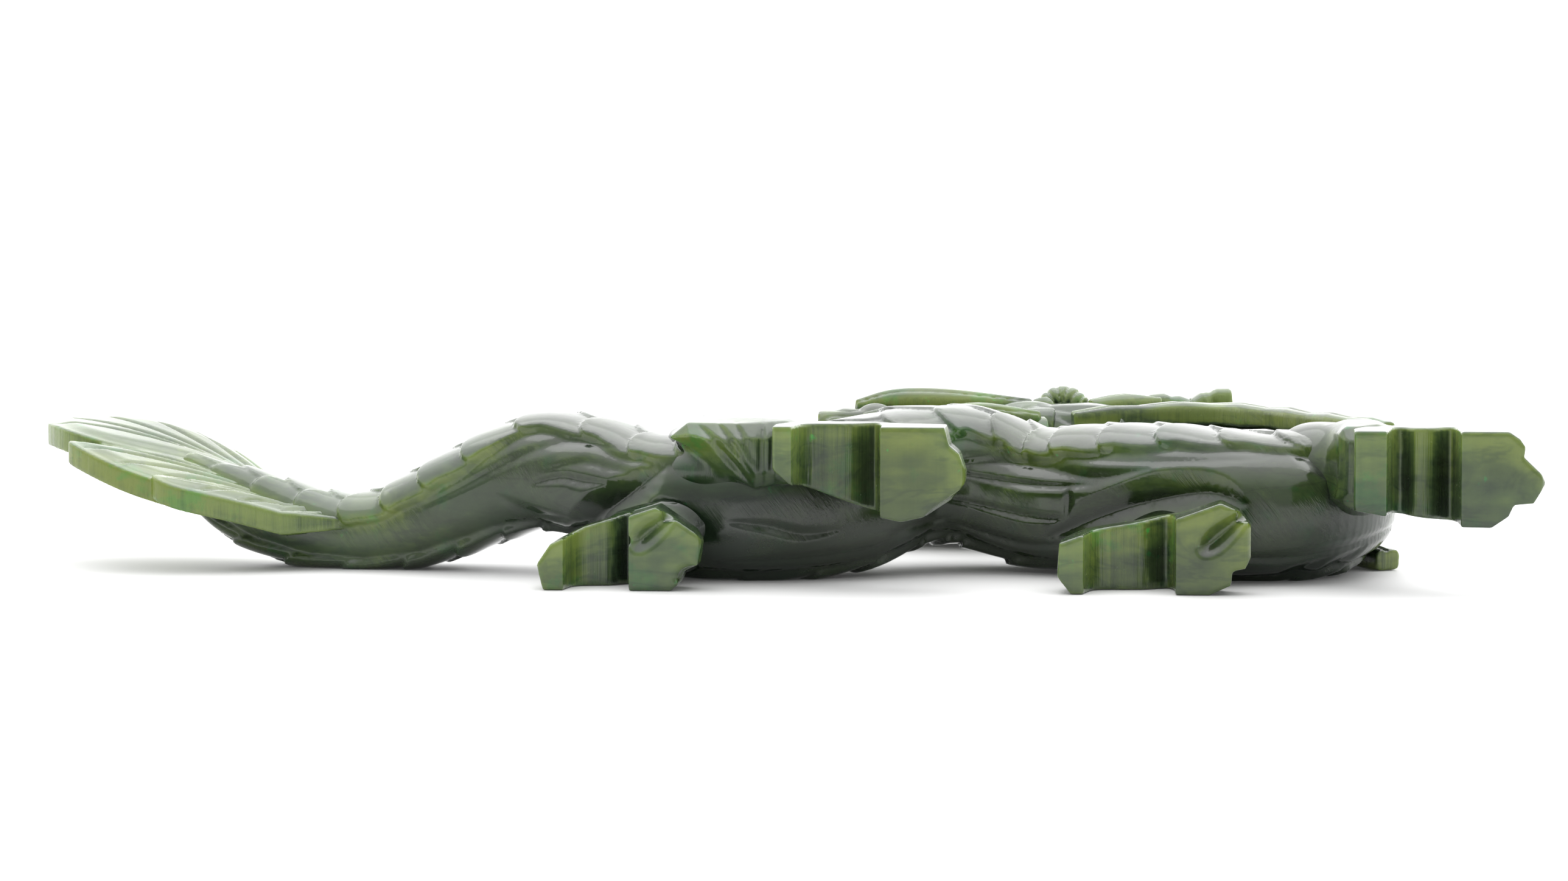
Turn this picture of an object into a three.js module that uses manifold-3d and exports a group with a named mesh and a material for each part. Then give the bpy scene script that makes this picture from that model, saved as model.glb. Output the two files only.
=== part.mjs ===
// A carved jade dragon, lying on its side: X runs from the tail to the forepaws, Y from the soles up to
// the horns, and Z through the thickness of the slab that it was cut from. Millimetres.
//
// The carving is one stone. Its anatomy is divided along the carved creases, each division a solid of its
// own, with a hairline GAP to its neighbours.
import * as THREE from "three";
import { mergeVertices } from "three/addons/utils/BufferGeometryUtils.js";
import Module from "manifold-3d";

const wasm = await Module();
wasm.setup();

// Driving dimensions.
const SLAB = 28.6; // thickness of the slab
const GAP = 0.3; // clearance between neighbouring solids
const SEAM_OVERLAP = 0.05; // how far the room kept for a stretch of the spine reaches past its seam
const MID = SLAB / 2; // the plane between the left and the right flank
const RING = 16; // sides of a lofted section
const STEP = 5; // length of one lofted stretch, at most
const SMALL_RING = 12; // and of a small part's section
const SQUARISH = 2.5; // superellipse exponent of the body's sections
const HEAD_SHAPE = 2.3; // of the skull's and the jaw's
const STRIP_SHAPE = 3; // of the nape strips'
const PAW_HEIGHT = 15; // sole to ankle
const ARCH_RISE = 6.5; // depth of the hollow under a paw
const FAN_THICK = 4.4;
const CREST_THICK = 2.6;
const CREST_ROOT = -4; // how far the crest reaches into the back
const KNEE_SEAM = 0.06; // where the shank starts, as a share of the way from knee to ankle

// The spine, from the tail's tip to the back of the head: x, y, z of the centre, then the section's half
// width across the flanks' plane and half thickness through the slab.
const SPINE = [
  [-110, 44, 17.2, 2.2, 2.6],
  [-100, 44, 11.2, 5.2, 5.8],
  [-90, 43, 7.6, 7, 6.4],
  [-81, 42, 6.1, 8, 6.2],
  [-73, 41, 6.6, 8.8, 6.6],
  [-65, 40, 9.1, 9.6, 7.7],
  [-57, 38.5, 12.7, 10.4, 8.4],
  [-50, 37, 15.7, 11, 8.9],
  [-43, 35, 17.4, 11.6, 9.5],
  [-35, 32, 16.2, 12.4, 9.8],
  [-26, 29, 13.6, 13.2, 10.4],
  [-15, 27, 12.5, 14, 12.1],
  [-4, 27.5, 12.5, 14.4, 12.6],
  [7, 33, 13.4, 14, 11.9],
  [17, 41, 16.3, 13.2, 11.2],
  [28, 45.5, 16.3, 12.8, 11.4],
  [40, 44, 12.9, 13, 11.3],
  [52, 38.5, 12.8, 13.4, 12.3],
  [64, 32.5, 12.8, 13.8, 12.7],
  [76, 29.5, 12.3, 14.2, 12.3],
  [86, 33, 12.6, 13.8, 11.8],
  [90.5, 45, 12, 12.2, 9.8],
  [86, 59, 11.8, 11.2, 8.8],
  [78, 72, 12.2, 10.6, 8.6],
  [67, 83, 13, 10.2, 8.8],
  [55, 90, 13.8, 10, 9.2],
];
const DIVISIONS = ["tail_tip", "tail_curve", "tail_rise", "haunch", "waist", "chest", "neck_base",
  "neck_arch"];
const LAST_STATION = [2, 5, 8, 12, 15, 18, 21, 25]; // the station where each division ends

// Paws: the outline seen from below, as x and z, from the heel round to the toes and back.
const PAWS = {
  hind_upper: {
    heel: -2.1, claw: 3.3, sole: 15.9, toe: 30.2,
    outline: [[-2.1, 20.5], [1.1, 17.7], [13.9, 12.9], [19.4, 11.8], [23.5, 12.7], [27.5, 15.3], [30, 18.3],
      [30.2, 20.3], [29, 23.3], [27.4, 24.6], [26.6, 27.6], [-2.1, 27.6]],
    hip: [-13, 31, 17.6, 12, 9.9], knee: [-4, 19.5, 19.2, 8.4, 8.3], ankle: [6.5, 11.5, 19.8, 6.6, 7.7],
  },
  hind_lower: {
    heel: -41.5, claw: 4.5, sole: -26, toe: -13.7,
    outline: [[-40.4, 0], [-19, 0], [-17.7, 1.2], [-16.9, 3.2], [-14.5, 4.3], [-13.7, 8.4], [-14.7, 9.7],
      [-17.7, 11.7], [-21.5, 14], [-25.2, 12.8], [-34.5, 10], [-37.1, 8.7], [-39.2, 7.7], [-41.5, 4.3]],
    hip: [-20, 28, 8.4, 11, 8.3], knee: [-25.5, 18.5, 7.4, 8, 7.3], ankle: [-31.5, 11.5, 6.3, 6.2, 6.1],
  },
  fore_lower: {
    heel: 45.2, claw: 4.4, sole: 64.8, toe: 77.3,
    outline: [[47.6, 0], [70.3, 0], [74, 1.7], [74.2, 4], [76.3, 4.5], [77.3, 6.3], [77.3, 11.5], [75.2, 14],
      [72.2, 15.3], [65.5, 12.9], [58, 11.3], [49.5, 9.9], [45.6, 8.5], [45.2, 3]],
    hip: [67, 30, 8.6, 11, 8.5], knee: [62, 18.5, 7.5, 8.2, 7.4], ankle: [56.5, 11.5, 6.7, 6.4, 6.5],
  },
  fore_upper: {
    heel: 94, claw: 5.4, sole: 111.5, toe: 125.4,
    outline: [[94, 14.2], [99.2, 13.3], [111.6, 11.6], [116.5, 11.5], [119.3, 13.4], [120.2, 15.3],
      [123.4, 15.6], [125.4, 18.9], [124.7, 20.4], [121.8, 23.2], [122, 24.9], [121.1, 26.2], [119.3, 27.4],
      [94, 27.4]],
    hip: [87, 31, 18.2, 11, 9.2], knee: [95.5, 20.5, 19, 7.6, 8.4], ankle: [103.5, 11.8, 19.8, 6.2, 7.6],
  },
};

// The tail fan's lobes, as x and y, base first, and the plane that they lie in.
const FAN_LOBES = {
  fan_near_lobe: [[-74, 38], [-84, 30], [-97, 24.5], [-107, 22.3], [-111, 25], [-104, 32], [-92, 37.5],
    [-80, 41]],
  fan_middle_lobe: [[-80.5, 41.6], [-92.3, 38.1], [-104.4, 32.6], [-111.5, 25.2], [-120, 26.5], [-127, 33],
    [-126, 36.5], [-118, 41], [-104, 46], [-88, 45]],
  fan_far_lobe: [[-88, 45.6], [-104.2, 46.6], [-118.2, 41.6], [-127, 38], [-133, 46], [-135, 55],
    [-129, 61], [-117, 63.5], [-105, 61], [-94, 55], [-84, 47]],
};
const FAN_X = -90; // where the fan starts to rise
const FAN_LENGTH = 36; // from there to the tip
const FAN_Y = 27; // its near edge
const FAN_WIDTH = 35; // from there to its far edge

// Height of the fan's middle: its near edge rises steadily to the tip, its far edge arches above it.
function fanHeight(x, y) {
  const u = (FAN_X - x) / FAN_LENGTH;
  const near = u > 0 ? 7.4 + 12.1 * u : 7.4 + 3 * u;
  const far = u > 0 ? 9.5 + 24 * u - 11.5 * u * u : 9.5;
  return near + ((far - near) * (y - FAN_Y)) / FAN_WIDTH;
}

// The head, which looks back over the body: x, y, z of the centre, then half height and half thickness.
const MUZZLE = [[42, 95, MID, 7.5, 11.4], [30, 95.5, MID, 6.6, 10.9], [18, 95, MID, 5.4, 10.2],
  [8, 95.5, MID, 5.6, 10.4], [-1.8, 96, MID, 4.6, 10.3]];
const SKULL = [[58, 93.5, MID, 6.5, 9.6], [50, 95.5, MID, 9.6, 11.8], [42.3, 95.8, MID, 9, 11.9]];
const JAW = [[40, 86, MID, 4.6, 9.8], [28, 83.5, MID, 3.4, 9], [16, 82.5, MID, 2.8, 7.8],
  [6, 84.5, MID, 2, 5.6]];
const TONGUE = [[32, 88.2, MID, 1.3, 4], [20, 87.2, MID, 1.2, 3.8], [10, 88.6, MID, 0.8, 2.6]];
const BEARD = [[24, 81.5, MID, 2.6, 4.4], [30, 76.5, MID, 2.4, 3.6], [38, 73.5, MID, 1.4, 2]];
// What the head carries on each flank: the same rows, for the upper flank.
const FLANKS = {
  moustache: [[5, 99, 24.6, 1.4, 1.6], [12, 100.5, 25.4, 2.8, 2.7], [22, 99.5, 25.5, 2.9, 2.7],
    [37, 97, 25, 1.1, 1.6]],
  lip_curl: [[7, 91, 22.9, 1.2, 1.6], [13, 90, 23.4, 2.2, 2.4], [21, 91, 23.2, 1, 1.6]],
  cheek_lock: [[19, 87.5, 23.6, 1.2, 1.6], [28, 85.5, 24, 2.7, 2.6], [39, 84.5, 23.6, 1.2, 1.6]],
  eye: [[31, 99.8, 24.2, 0.8, 1.2], [38.5, 100.4, 24.6, 2.4, 2.2], [44.6, 99.8, 24.2, 0.8, 1.2]],
  brow: [[37.5, 104, 24.4, 1.4, 1.8], [42.5, 105.2, 25.9, 3, 3.1], [47.5, 103.6, 24.6, 1.4, 2]],
  ear: [[48, 101, 24.3, 2, 2.2], [54, 103, 25.2, 2.6, 2.2], [60.5, 105, 25.2, 0.8, 1.4]],
  horn: [[44, 106, 22.2, 2.8, 3.2], [53, 109.5, 22.8, 2.8, 3], [61, 110.2, 24.1, 2.8, 2.9],
    [66, 111, 23.2, 2.5, 2.7], [69.5, 111.8, 24.9, 2.4, 2.7], [73.4, 112.4, 25.2, 2.4, 2.7]],
};
const NAPE_STRIP = [[45, 86.5, 23.2, 2, 2.2], [56, 89.5, 23.8, 2.8, 2.5], [66, 89, 24.3, 3.3, 2.5],
  [74, 85, 24.5, 3.4, 2.4], [81.5, 77.5, 24.5, 3.4, 2.3], [88, 68, 24.4, 3.2, 2.2],
  [95.5, 56, 24.3, 3, 2.2], [100.2, 48, 24.1, 2.6, 2.1]];
const STRIP_FALL = 22.2; // from the upper nape strip down to the lower one
const STRIP_SHIFT = 0.8; // of the lower nape strip, along X
// Flame-shaped locks along the nape: root and tip, as x and y.
const MANE = [
  [[54, 98], [72, 107]],
  [[64, 92], [84, 99]],
  [[74, 84], [94, 88]],
  [[81, 73], [100.5, 76]],
  [[86, 61], [104, 64]],
];

// A geometry whose faces are turned outwards.
function outward(geometry) {
  const p = geometry.getAttribute("position");
  const index = geometry.index.array;
  const a = new THREE.Vector3();
  const b = new THREE.Vector3();
  const c = new THREE.Vector3();
  let volume = 0;
  for (let i = 0; i < index.length; i += 3) {
    a.fromBufferAttribute(p, index[i]);
    b.fromBufferAttribute(p, index[i + 1]);
    c.fromBufferAttribute(p, index[i + 2]);
    volume += a.dot(b.cross(c));
  }
  if (volume < 0) {
    for (let i = 0; i < index.length; i += 3) [index[i + 1], index[i + 2]] = [index[i + 2], index[i + 1]];
  }
  return geometry;
}

// A closed body through rows of [x, y, z, half width in the XY plane, half thickness along Z].
// span is the share of the rows' path that the body takes; where it stops short of an end of the path, it
// meets its neighbour, and keeps half of the gap clear.
function loft(rows, { grow = 0, sides = RING, power = 2, span = [0, 1] } = {}) {
  const centres = rows.map(([x, y, z]) => new THREE.Vector3(x, y, z));
  const path = new THREE.CatmullRomCurve3(centres, false, "centripetal");
  const sizes = new THREE.CatmullRomCurve3(rows.map((r) => new THREE.Vector3(r[3], r[4], 0)));
  const up = new THREE.Vector3(0, 0, 1);
  const points = [];
  const count = Math.max(2, Math.ceil((path.getLength() * (span[1] - span[0])) / STEP));
  const overshoot = (t) => (t > 0 && t < 1 ? (grow ? SEAM_OVERLAP : -GAP / 2) : grow);
  for (let i = 0; i <= count; i += 1) {
    const t = span[0] + ((span[1] - span[0]) * i) / count;
    const centre = path.getPoint(t);
    const tangent = path.getTangent(t);
    const across = new THREE.Vector3().crossVectors(up, tangent).normalize();
    const through = new THREE.Vector3().crossVectors(tangent, across);
    const size = sizes.getPoint(t);
    if (i === 0) centre.addScaledVector(tangent, -overshoot(t));
    if (i === count) centre.addScaledVector(tangent, overshoot(t));
    for (let k = 0; k < sides; k += 1) {
      const angle = (2 * Math.PI * (k + 0.5)) / sides;
      const c = Math.cos(angle);
      const s = Math.sin(angle);
      const u = Math.sign(c) * Math.abs(c) ** (2 / power) * (size.x + grow);
      const v = Math.sign(s) * Math.abs(s) ** (2 / power) * (size.y + grow);
      const at = centre.clone().addScaledVector(across, u).addScaledVector(through, v);
      points.push(at.x, at.y, at.z);
    }
  }
  const index = [];
  for (let i = 0; i < count; i += 1) {
    for (let k = 0; k < sides; k += 1) {
      const a = i * sides + k;
      const b = i * sides + ((k + 1) % sides);
      index.push(a, b, b + sides, a, b + sides, a + sides);
    }
  }
  for (const [first, flip] of [[0, true], [count * sides, false]]) {
    for (let k = 1; k < sides - 1; k += 1) {
      index.push(first, first + (flip ? k + 1 : k), first + (flip ? k : k + 1));
    }
  }
  const geometry = new THREE.BufferGeometry();
  geometry.setAttribute("position", new THREE.Float32BufferAttribute(points, 3));
  geometry.setIndex(index);
  return outward(geometry);
}

// A plate with the given outline in the XY plane, from z = low up to z = high.
function plate(outline, low, high) {
  const shape = new THREE.Shape(outline.map(([x, y]) => new THREE.Vector2(x, y)));
  return new THREE.ExtrudeGeometry(shape, { depth: high - low, bevelEnabled: false }).translate(0, 0, low);
}

// The same, with the outline in the XZ plane, from y = low up to y = high.
function uprightPlate(outline, low, high) {
  return plate(outline, -high, -low).rotateX(Math.PI / 2);
}

function solidOf(geometry) {
  const bare = geometry.clone();
  bare.deleteAttribute("normal");
  bare.deleteAttribute("uv");
  const merged = outward(mergeVertices(bare, 1e-4));
  return new wasm.Manifold(new wasm.Mesh({
    numProp: 3,
    vertProperties: merged.getAttribute("position").array,
    triVerts: new Uint32Array(merged.index.array),
  }));
}

function geometryOf(solid) {
  const mesh = solid.getMesh();
  const geometry = new THREE.BufferGeometry();
  geometry.setAttribute("position", new THREE.BufferAttribute(new Float32Array(mesh.vertProperties), 3));
  geometry.setIndex(new THREE.BufferAttribute(new Uint32Array(mesh.triVerts), 1));
  const faceted = geometry.toNonIndexed();
  faceted.computeVertexNormals();
  return faceted;
}

const largest = (solid) => solid.decompose().sort((a, b) => b.volume() - a.volume())[0];

// A geometry made larger by grow on every side of its box.
function grown(geometry, grow) {
  geometry.computeBoundingBox();
  const size = geometry.boundingBox.getSize(new THREE.Vector3());
  const centre = geometry.boundingBox.getCenter(new THREE.Vector3());
  const scale = size.clone().addScalar(2 * grow).divide(size);
  return geometry.clone().translate(-centre.x, -centre.y, -centre.z).scale(scale.x, scale.y, scale.z)
    .translate(centre.x, centre.y, centre.z);
}

const jade = (color, roughness) => new THREE.MeshStandardMaterial({ color, roughness, metalness: 0 });
// One stone, in three tones: dark where it is thick, and paler where light comes through it.
const MATERIALS = {
  thick: jade(0x24391f, 0.28),
  middle: jade(0x4a6b35, 0.32),
  thin: jade(0x7f9f55, 0.3),
};

const dragon = new THREE.Group();
const placed = []; // the room that each division takes, with the gap around it
const slab = solidOf(plate([[-150, -10], [150, -10], [150, 150], [-150, 150]], 0, SLAB));

// Adds one division of the carving, cut back from every division already there. build(grow) gives its solid.
function add(name, material, build) {
  const room = build(GAP);
  let solid = build(0).intersect(slab);
  for (const other of placed) solid = solid.subtract(other);
  const mesh = new THREE.Mesh(geometryOf(largest(solid)), MATERIALS[material]);
  mesh.name = name;
  dragon.add(mesh);
  placed.push(room);
}

const lofted = (rows, options = {}) => (grow) => solidOf(loft(rows, { ...options, grow }));
const flipped = (rows) => rows.map(([x, y, z, a, b]) => [x, y, SLAB - z, a, b]);

// Side profile of a paw: heel claw, hollow arch and sole, with the ankle above the arch.
function pawProfile({ heel, claw, sole, toe }) {
  const top = PAW_HEIGHT;
  const clawEnd = heel + claw;
  const arch = new THREE.CatmullRomCurve3([
    [clawEnd + 0.2, 2.4], [clawEnd + 2, 5.2], [(clawEnd + sole) / 2, ARCH_RISE], [sole - 1.6, 4.6], [sole, 0],
  ].map(([x, y]) => new THREE.Vector3(x, y, 0)));
  const hollow = arch.getPoints(10).map((p) => [p.x, p.y]);
  const front = [[toe - 2.4, 0], [toe - 0.4, 1.6], [toe, 4.4], [toe - 1.2, 7.4], [toe - 5, 9.4],
    [sole + 3, 11], [sole - 3, top]];
  const back = [[clawEnd + 1.5, top], [clawEnd - 0.4, 9.5], [clawEnd + 0.2, 6]];
  return [...hollow, ...front, ...back];
}

// Side profile of the heel claw, clear of the paw by the gap.
function clawProfile({ heel, claw }) {
  const end = heel + claw;
  return [[heel, 1.2], [heel + 1, 0], [end, 0], [end, 2.2], [end - 0.15, 6], [end - 0.7, 9], [heel + 1.4, 8],
    [heel + 0.2, 4.5]];
}

function addLeg(name, paw, material) {
  const seenFromBelow = (grow) => grown(uprightPlate(paw.outline, -1, PAW_HEIGHT + 1), grow);
  const cutPaw = (profile) => (grow) => {
    const side = grown(plate(profile, -1, SLAB + 1), grow);
    return solidOf(side).intersect(solidOf(seenFromBelow(grow)));
  };
  add(`${name}_thigh`, material, lofted([paw.hip, paw.knee], { power: SQUARISH }));
  const beyondKnee = paw.knee.map((v, i) => v + (paw.ankle[i] - v) * KNEE_SEAM);
  add(`${name}_shank`, material, lofted([beyondKnee, paw.ankle], { power: SQUARISH }));
  add(`${name}_paw`, "thin", cutPaw(pawProfile(paw)));
  add(`${name}_heel_claw`, "thin", cutPaw(clawProfile(paw)));
}

// Spiky crest along the back, from one spine station to another.
function crestOutline(first, last, height, pitch) {
  const centres = SPINE.map(([x, y]) => new THREE.Vector3(x, y, 0));
  const path = new THREE.CatmullRomCurve3(centres, false, "centripetal");
  const half = new THREE.CatmullRomCurve3(SPINE.map((r) => new THREE.Vector3(r[3], r[2], 0)));
  const edge = (t, lift) => {
    const tangent = path.getTangent(t);
    const at = path.getPoint(t);
    const out = half.getPoint(t).x + lift;
    return [at.x - tangent.y * out, at.y + tangent.x * out];
  };
  const from = first / (SPINE.length - 1);
  const to = last / (SPINE.length - 1);
  const teeth = Math.round((path.getLength() * (to - from)) / pitch);
  const outer = [];
  const inner = [];
  for (let i = 0; i < teeth; i += 1) {
    const at = (share) => from + ((to - from) * (i + share)) / teeth;
    outer.push(edge(at(0.02), height), edge(at(0.5), height * 0.72), edge(at(0.9), height * 0.3));
    inner.unshift(edge(at(0.5), CREST_ROOT), edge(at(0.02), CREST_ROOT));
  }
  return [...outer, edge(to, GAP), edge(to, CREST_ROOT), ...inner];
}

// Height of the spine's centre at the station nearest to a point.
function spineHeight(x, y) {
  const near = SPINE.map((r) => [Math.hypot(r[0] - x, r[1] - y), r[2]]).sort((a, b) => a[0] - b[0]);
  const [a, b] = near;
  return (a[1] * b[0] + b[1] * a[0]) / (a[0] + b[0]);
}

// Lifts every vertex of a plate by a height that depends on where it is.
function lifted(geometry, height) {
  const p = geometry.getAttribute("position");
  for (let i = 0; i < p.count; i += 1) p.setZ(i, p.getZ(i) + height(p.getX(i), p.getY(i)));
  return geometry;
}

DIVISIONS.forEach((name, i) => {
  const span = [i ? LAST_STATION[i - 1] : 0, LAST_STATION[i]].map((station) => station / (SPINE.length - 1));
  add(name, "thick", lofted(SPINE, { power: SQUARISH, span }));
});

add("head_skull", "middle", lofted(SKULL, { power: HEAD_SHAPE }));
add("muzzle", "middle", lofted(MUZZLE, { power: SQUARISH }));
add("lower_jaw", "middle", lofted(JAW, { power: HEAD_SHAPE }));
add("tongue", "thin", lofted(TONGUE, { sides: SMALL_RING }));
add("beard", "thin", lofted(BEARD, { sides: SMALL_RING }));
for (const [name, rows] of Object.entries(FLANKS)) {
  add(`${name}_upper`, "thin", lofted(rows, { sides: SMALL_RING }));
  add(`${name}_lower`, "thin", lofted(flipped(rows), { sides: SMALL_RING }));
}
add("nape_strip_upper", "thin", lofted(NAPE_STRIP, { sides: SMALL_RING, power: STRIP_SHAPE }));
const lowerStrip = NAPE_STRIP.map(([x, y, z, a, b]) => [x + STRIP_SHIFT, y, z - STRIP_FALL, a, b]);
add("nape_strip_lower", "thin", lofted(lowerStrip, { sides: SMALL_RING, power: STRIP_SHAPE }));
MANE.forEach(([root, tip], i) => {
  const middle = [(root[0] + tip[0]) / 2 + 1.5, (root[1] + tip[1]) / 2 - 1.5];
  const rows = [[...root, MID, 5, 7], [...middle, MID, 4.2, 6.4], [...tip, MID, 0.9, 3]];
  add(`mane_lock_${i + 1}`, "thin", lofted(rows, { sides: SMALL_RING }));
});

for (const [name, paw] of Object.entries(PAWS)) addLeg(name, paw, "middle");

for (const [name, outline] of Object.entries(FAN_LOBES)) {
  const lobe = plate(outline, -FAN_THICK / 2, FAN_THICK / 2);
  add(name, "thin", (grow) => solidOf(lifted(grown(lobe, grow), fanHeight)));
}

const CRESTS = { tail_crest: [2.2, 8, 3, 5.5], back_crest: [8.3, 19.2, 3.6, 6.5] };
for (const [name, [first, last, height, pitch]] of Object.entries(CRESTS)) {
  const outline = crestOutline(first, last, height, pitch);
  const build = (grow) => {
    const flat = grown(plate(outline, -CREST_THICK / 2, CREST_THICK / 2), grow);
    return solidOf(lifted(flat, spineHeight));
  };
  add(name, "thin", build);
}

// The origin is under the middle of the carving as it lies.
const box = new THREE.Box3().setFromObject(dragon);
const middle = box.getCenter(new THREE.Vector3());
dragon.position.set(-middle.x, -middle.y, -box.min.z);
dragon.updateMatrixWorld(true);

export default dragon;
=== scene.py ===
"""A carved jade dragon lying on its side, on a pale table in soft studio light.

Every piece is carved the way the stone was: a distance field is cut and rounded, then meshed. The fields are
drawn in millimetres on the carver's drawing: X from the tail to the forepaws, Y from the soles to the horns,
Z up through the slab. DRAWING is where that drawing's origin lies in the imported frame.
"""

import math

import bpy
import numpy as np
import openvdb
from mathutils import Matrix, Vector


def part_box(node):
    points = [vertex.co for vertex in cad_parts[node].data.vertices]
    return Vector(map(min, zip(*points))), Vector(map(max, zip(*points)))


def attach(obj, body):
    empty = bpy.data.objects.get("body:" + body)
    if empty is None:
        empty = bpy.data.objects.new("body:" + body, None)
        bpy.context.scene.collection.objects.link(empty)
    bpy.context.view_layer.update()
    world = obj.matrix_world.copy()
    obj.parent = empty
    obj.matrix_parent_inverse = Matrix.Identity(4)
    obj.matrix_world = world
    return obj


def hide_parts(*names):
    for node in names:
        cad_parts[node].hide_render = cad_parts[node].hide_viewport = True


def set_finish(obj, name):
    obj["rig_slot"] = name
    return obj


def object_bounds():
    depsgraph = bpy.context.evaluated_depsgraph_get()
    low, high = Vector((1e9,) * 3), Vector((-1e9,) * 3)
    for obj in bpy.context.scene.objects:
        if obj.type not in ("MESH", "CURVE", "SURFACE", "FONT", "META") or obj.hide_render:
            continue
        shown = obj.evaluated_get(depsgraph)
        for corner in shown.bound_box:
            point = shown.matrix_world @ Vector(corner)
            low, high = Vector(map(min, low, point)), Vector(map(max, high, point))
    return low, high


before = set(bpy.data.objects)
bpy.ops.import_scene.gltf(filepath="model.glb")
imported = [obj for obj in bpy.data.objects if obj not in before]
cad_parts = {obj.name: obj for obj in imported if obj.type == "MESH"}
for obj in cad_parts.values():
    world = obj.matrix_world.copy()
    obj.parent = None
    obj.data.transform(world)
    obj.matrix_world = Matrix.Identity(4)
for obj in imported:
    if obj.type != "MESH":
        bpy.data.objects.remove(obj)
cad_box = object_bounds()

# Driving dimensions, in millimetres --------------------
SLAB = 28.6  # thickness of the slab of stone
MID = SLAB / 2
TOE_X = 125.4  # the foremost toe, on the drawing
MM = 0.001
COARSE = 1.0
BODY_VOXEL = 0.38 * COARSE
LIMB_VOXEL = 0.36 * COARSE
FINE_VOXEL = 0.28 * COARSE
MOST_FACES = 190_000  # triangles in a piece, at most

# The spine: x, y, z of the centre, half width in the XY plane, half thickness through the slab, and how many
# degrees round from the back the scales end and the smooth belly begins.
SPINE = [
    (-110, 44, 17.2, 2.2, 2.6, 165),
    (-100, 44, 11.2, 5.2, 5.8, 165),
    (-90, 43, 7.6, 7, 6.4, 165),
    (-81, 42, 6.1, 8, 6.2, 164),
    (-73, 41, 6.6, 8.8, 6.6, 160),
    (-65, 40, 9.1, 9.6, 7.7, 156),
    (-57, 38.5, 12.7, 10.4, 8.4, 152),
    (-50, 37, 15.7, 11, 8.9, 145),
    (-43, 35, 17.4, 11.6, 9.5, 131),
    (-35, 32, 16.2, 12.4, 9.8, 128),
    (-26, 29, 13.6, 13.2, 10.4, 135),
    (-15, 27, 12.5, 14, 12.1, 137),
    (-4, 27.5, 12.5, 14.4, 12.6, 140),
    (7, 33, 13.4, 14, 11.9, 142),
    (17, 41, 16.3, 13.2, 11.2, 142),
    (28, 45.5, 16.3, 12.8, 11.4, 140),
    (40, 44, 12.9, 13, 11.3, 139),
    (52, 38.5, 12.8, 13.4, 12.3, 138),
    (64, 32.5, 12.8, 13.8, 12.7, 130),
    (76, 29.5, 12.3, 14.2, 12.3, 122),
    (86, 33, 12.6, 13.8, 11.8, 130),
    (90.5, 45, 12, 12.2, 9.8, 142),
    (86, 59, 11.8, 11.2, 8.8, 150),
    (78, 72, 12.2, 10.6, 8.6, 150),
    (67, 83, 13, 10.2, 8.8, 150),
    (55, 90, 13.8, 10, 9.2, 150),
]
SPINE_NODES = ["tail_tip", "tail_curve", "tail_rise", "haunch", "waist", "chest", "neck_base", "neck_arch"]

# Fields --------------------


def join(a, b, r=0.4):
    """The union of two fields, with a fillet of about r where they meet."""
    h = np.clip(0.5 + 0.5 * (b - a) / r, 0, 1)
    return b + (a - b) * h - r * h * (1 - h)


def cut(a, b, r=0.3):
    """Field a with b taken away."""
    return -join(-a, b, r)


def both(a, b, r=0.3):
    """Where both fields are solid."""
    return -join(-a, -b, r)


def smooth(x, low, high):
    """0 below low, 1 above high, and a smooth rise between them."""
    t = np.clip((x - low) / (high - low), 0, 1)
    return t * t * (3 - 2 * t)


def between(p0, p1, p2, p3, t):
    """The point at share t of the way from p1 to p2, on the smooth curve through all four."""
    return 0.5 * (2 * p1 + (p2 - p0) * t + (2 * p0 - 5 * p1 + 4 * p2 - p3) * t**2
                  + (3 * p1 - p0 - 3 * p2 + p3) * t**3)


def extended(points):
    """The points with one more at each end, in line with the last two there."""
    return np.vstack([2 * points[0] - points[1], points, 2 * points[-1] - points[-2]])


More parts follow.
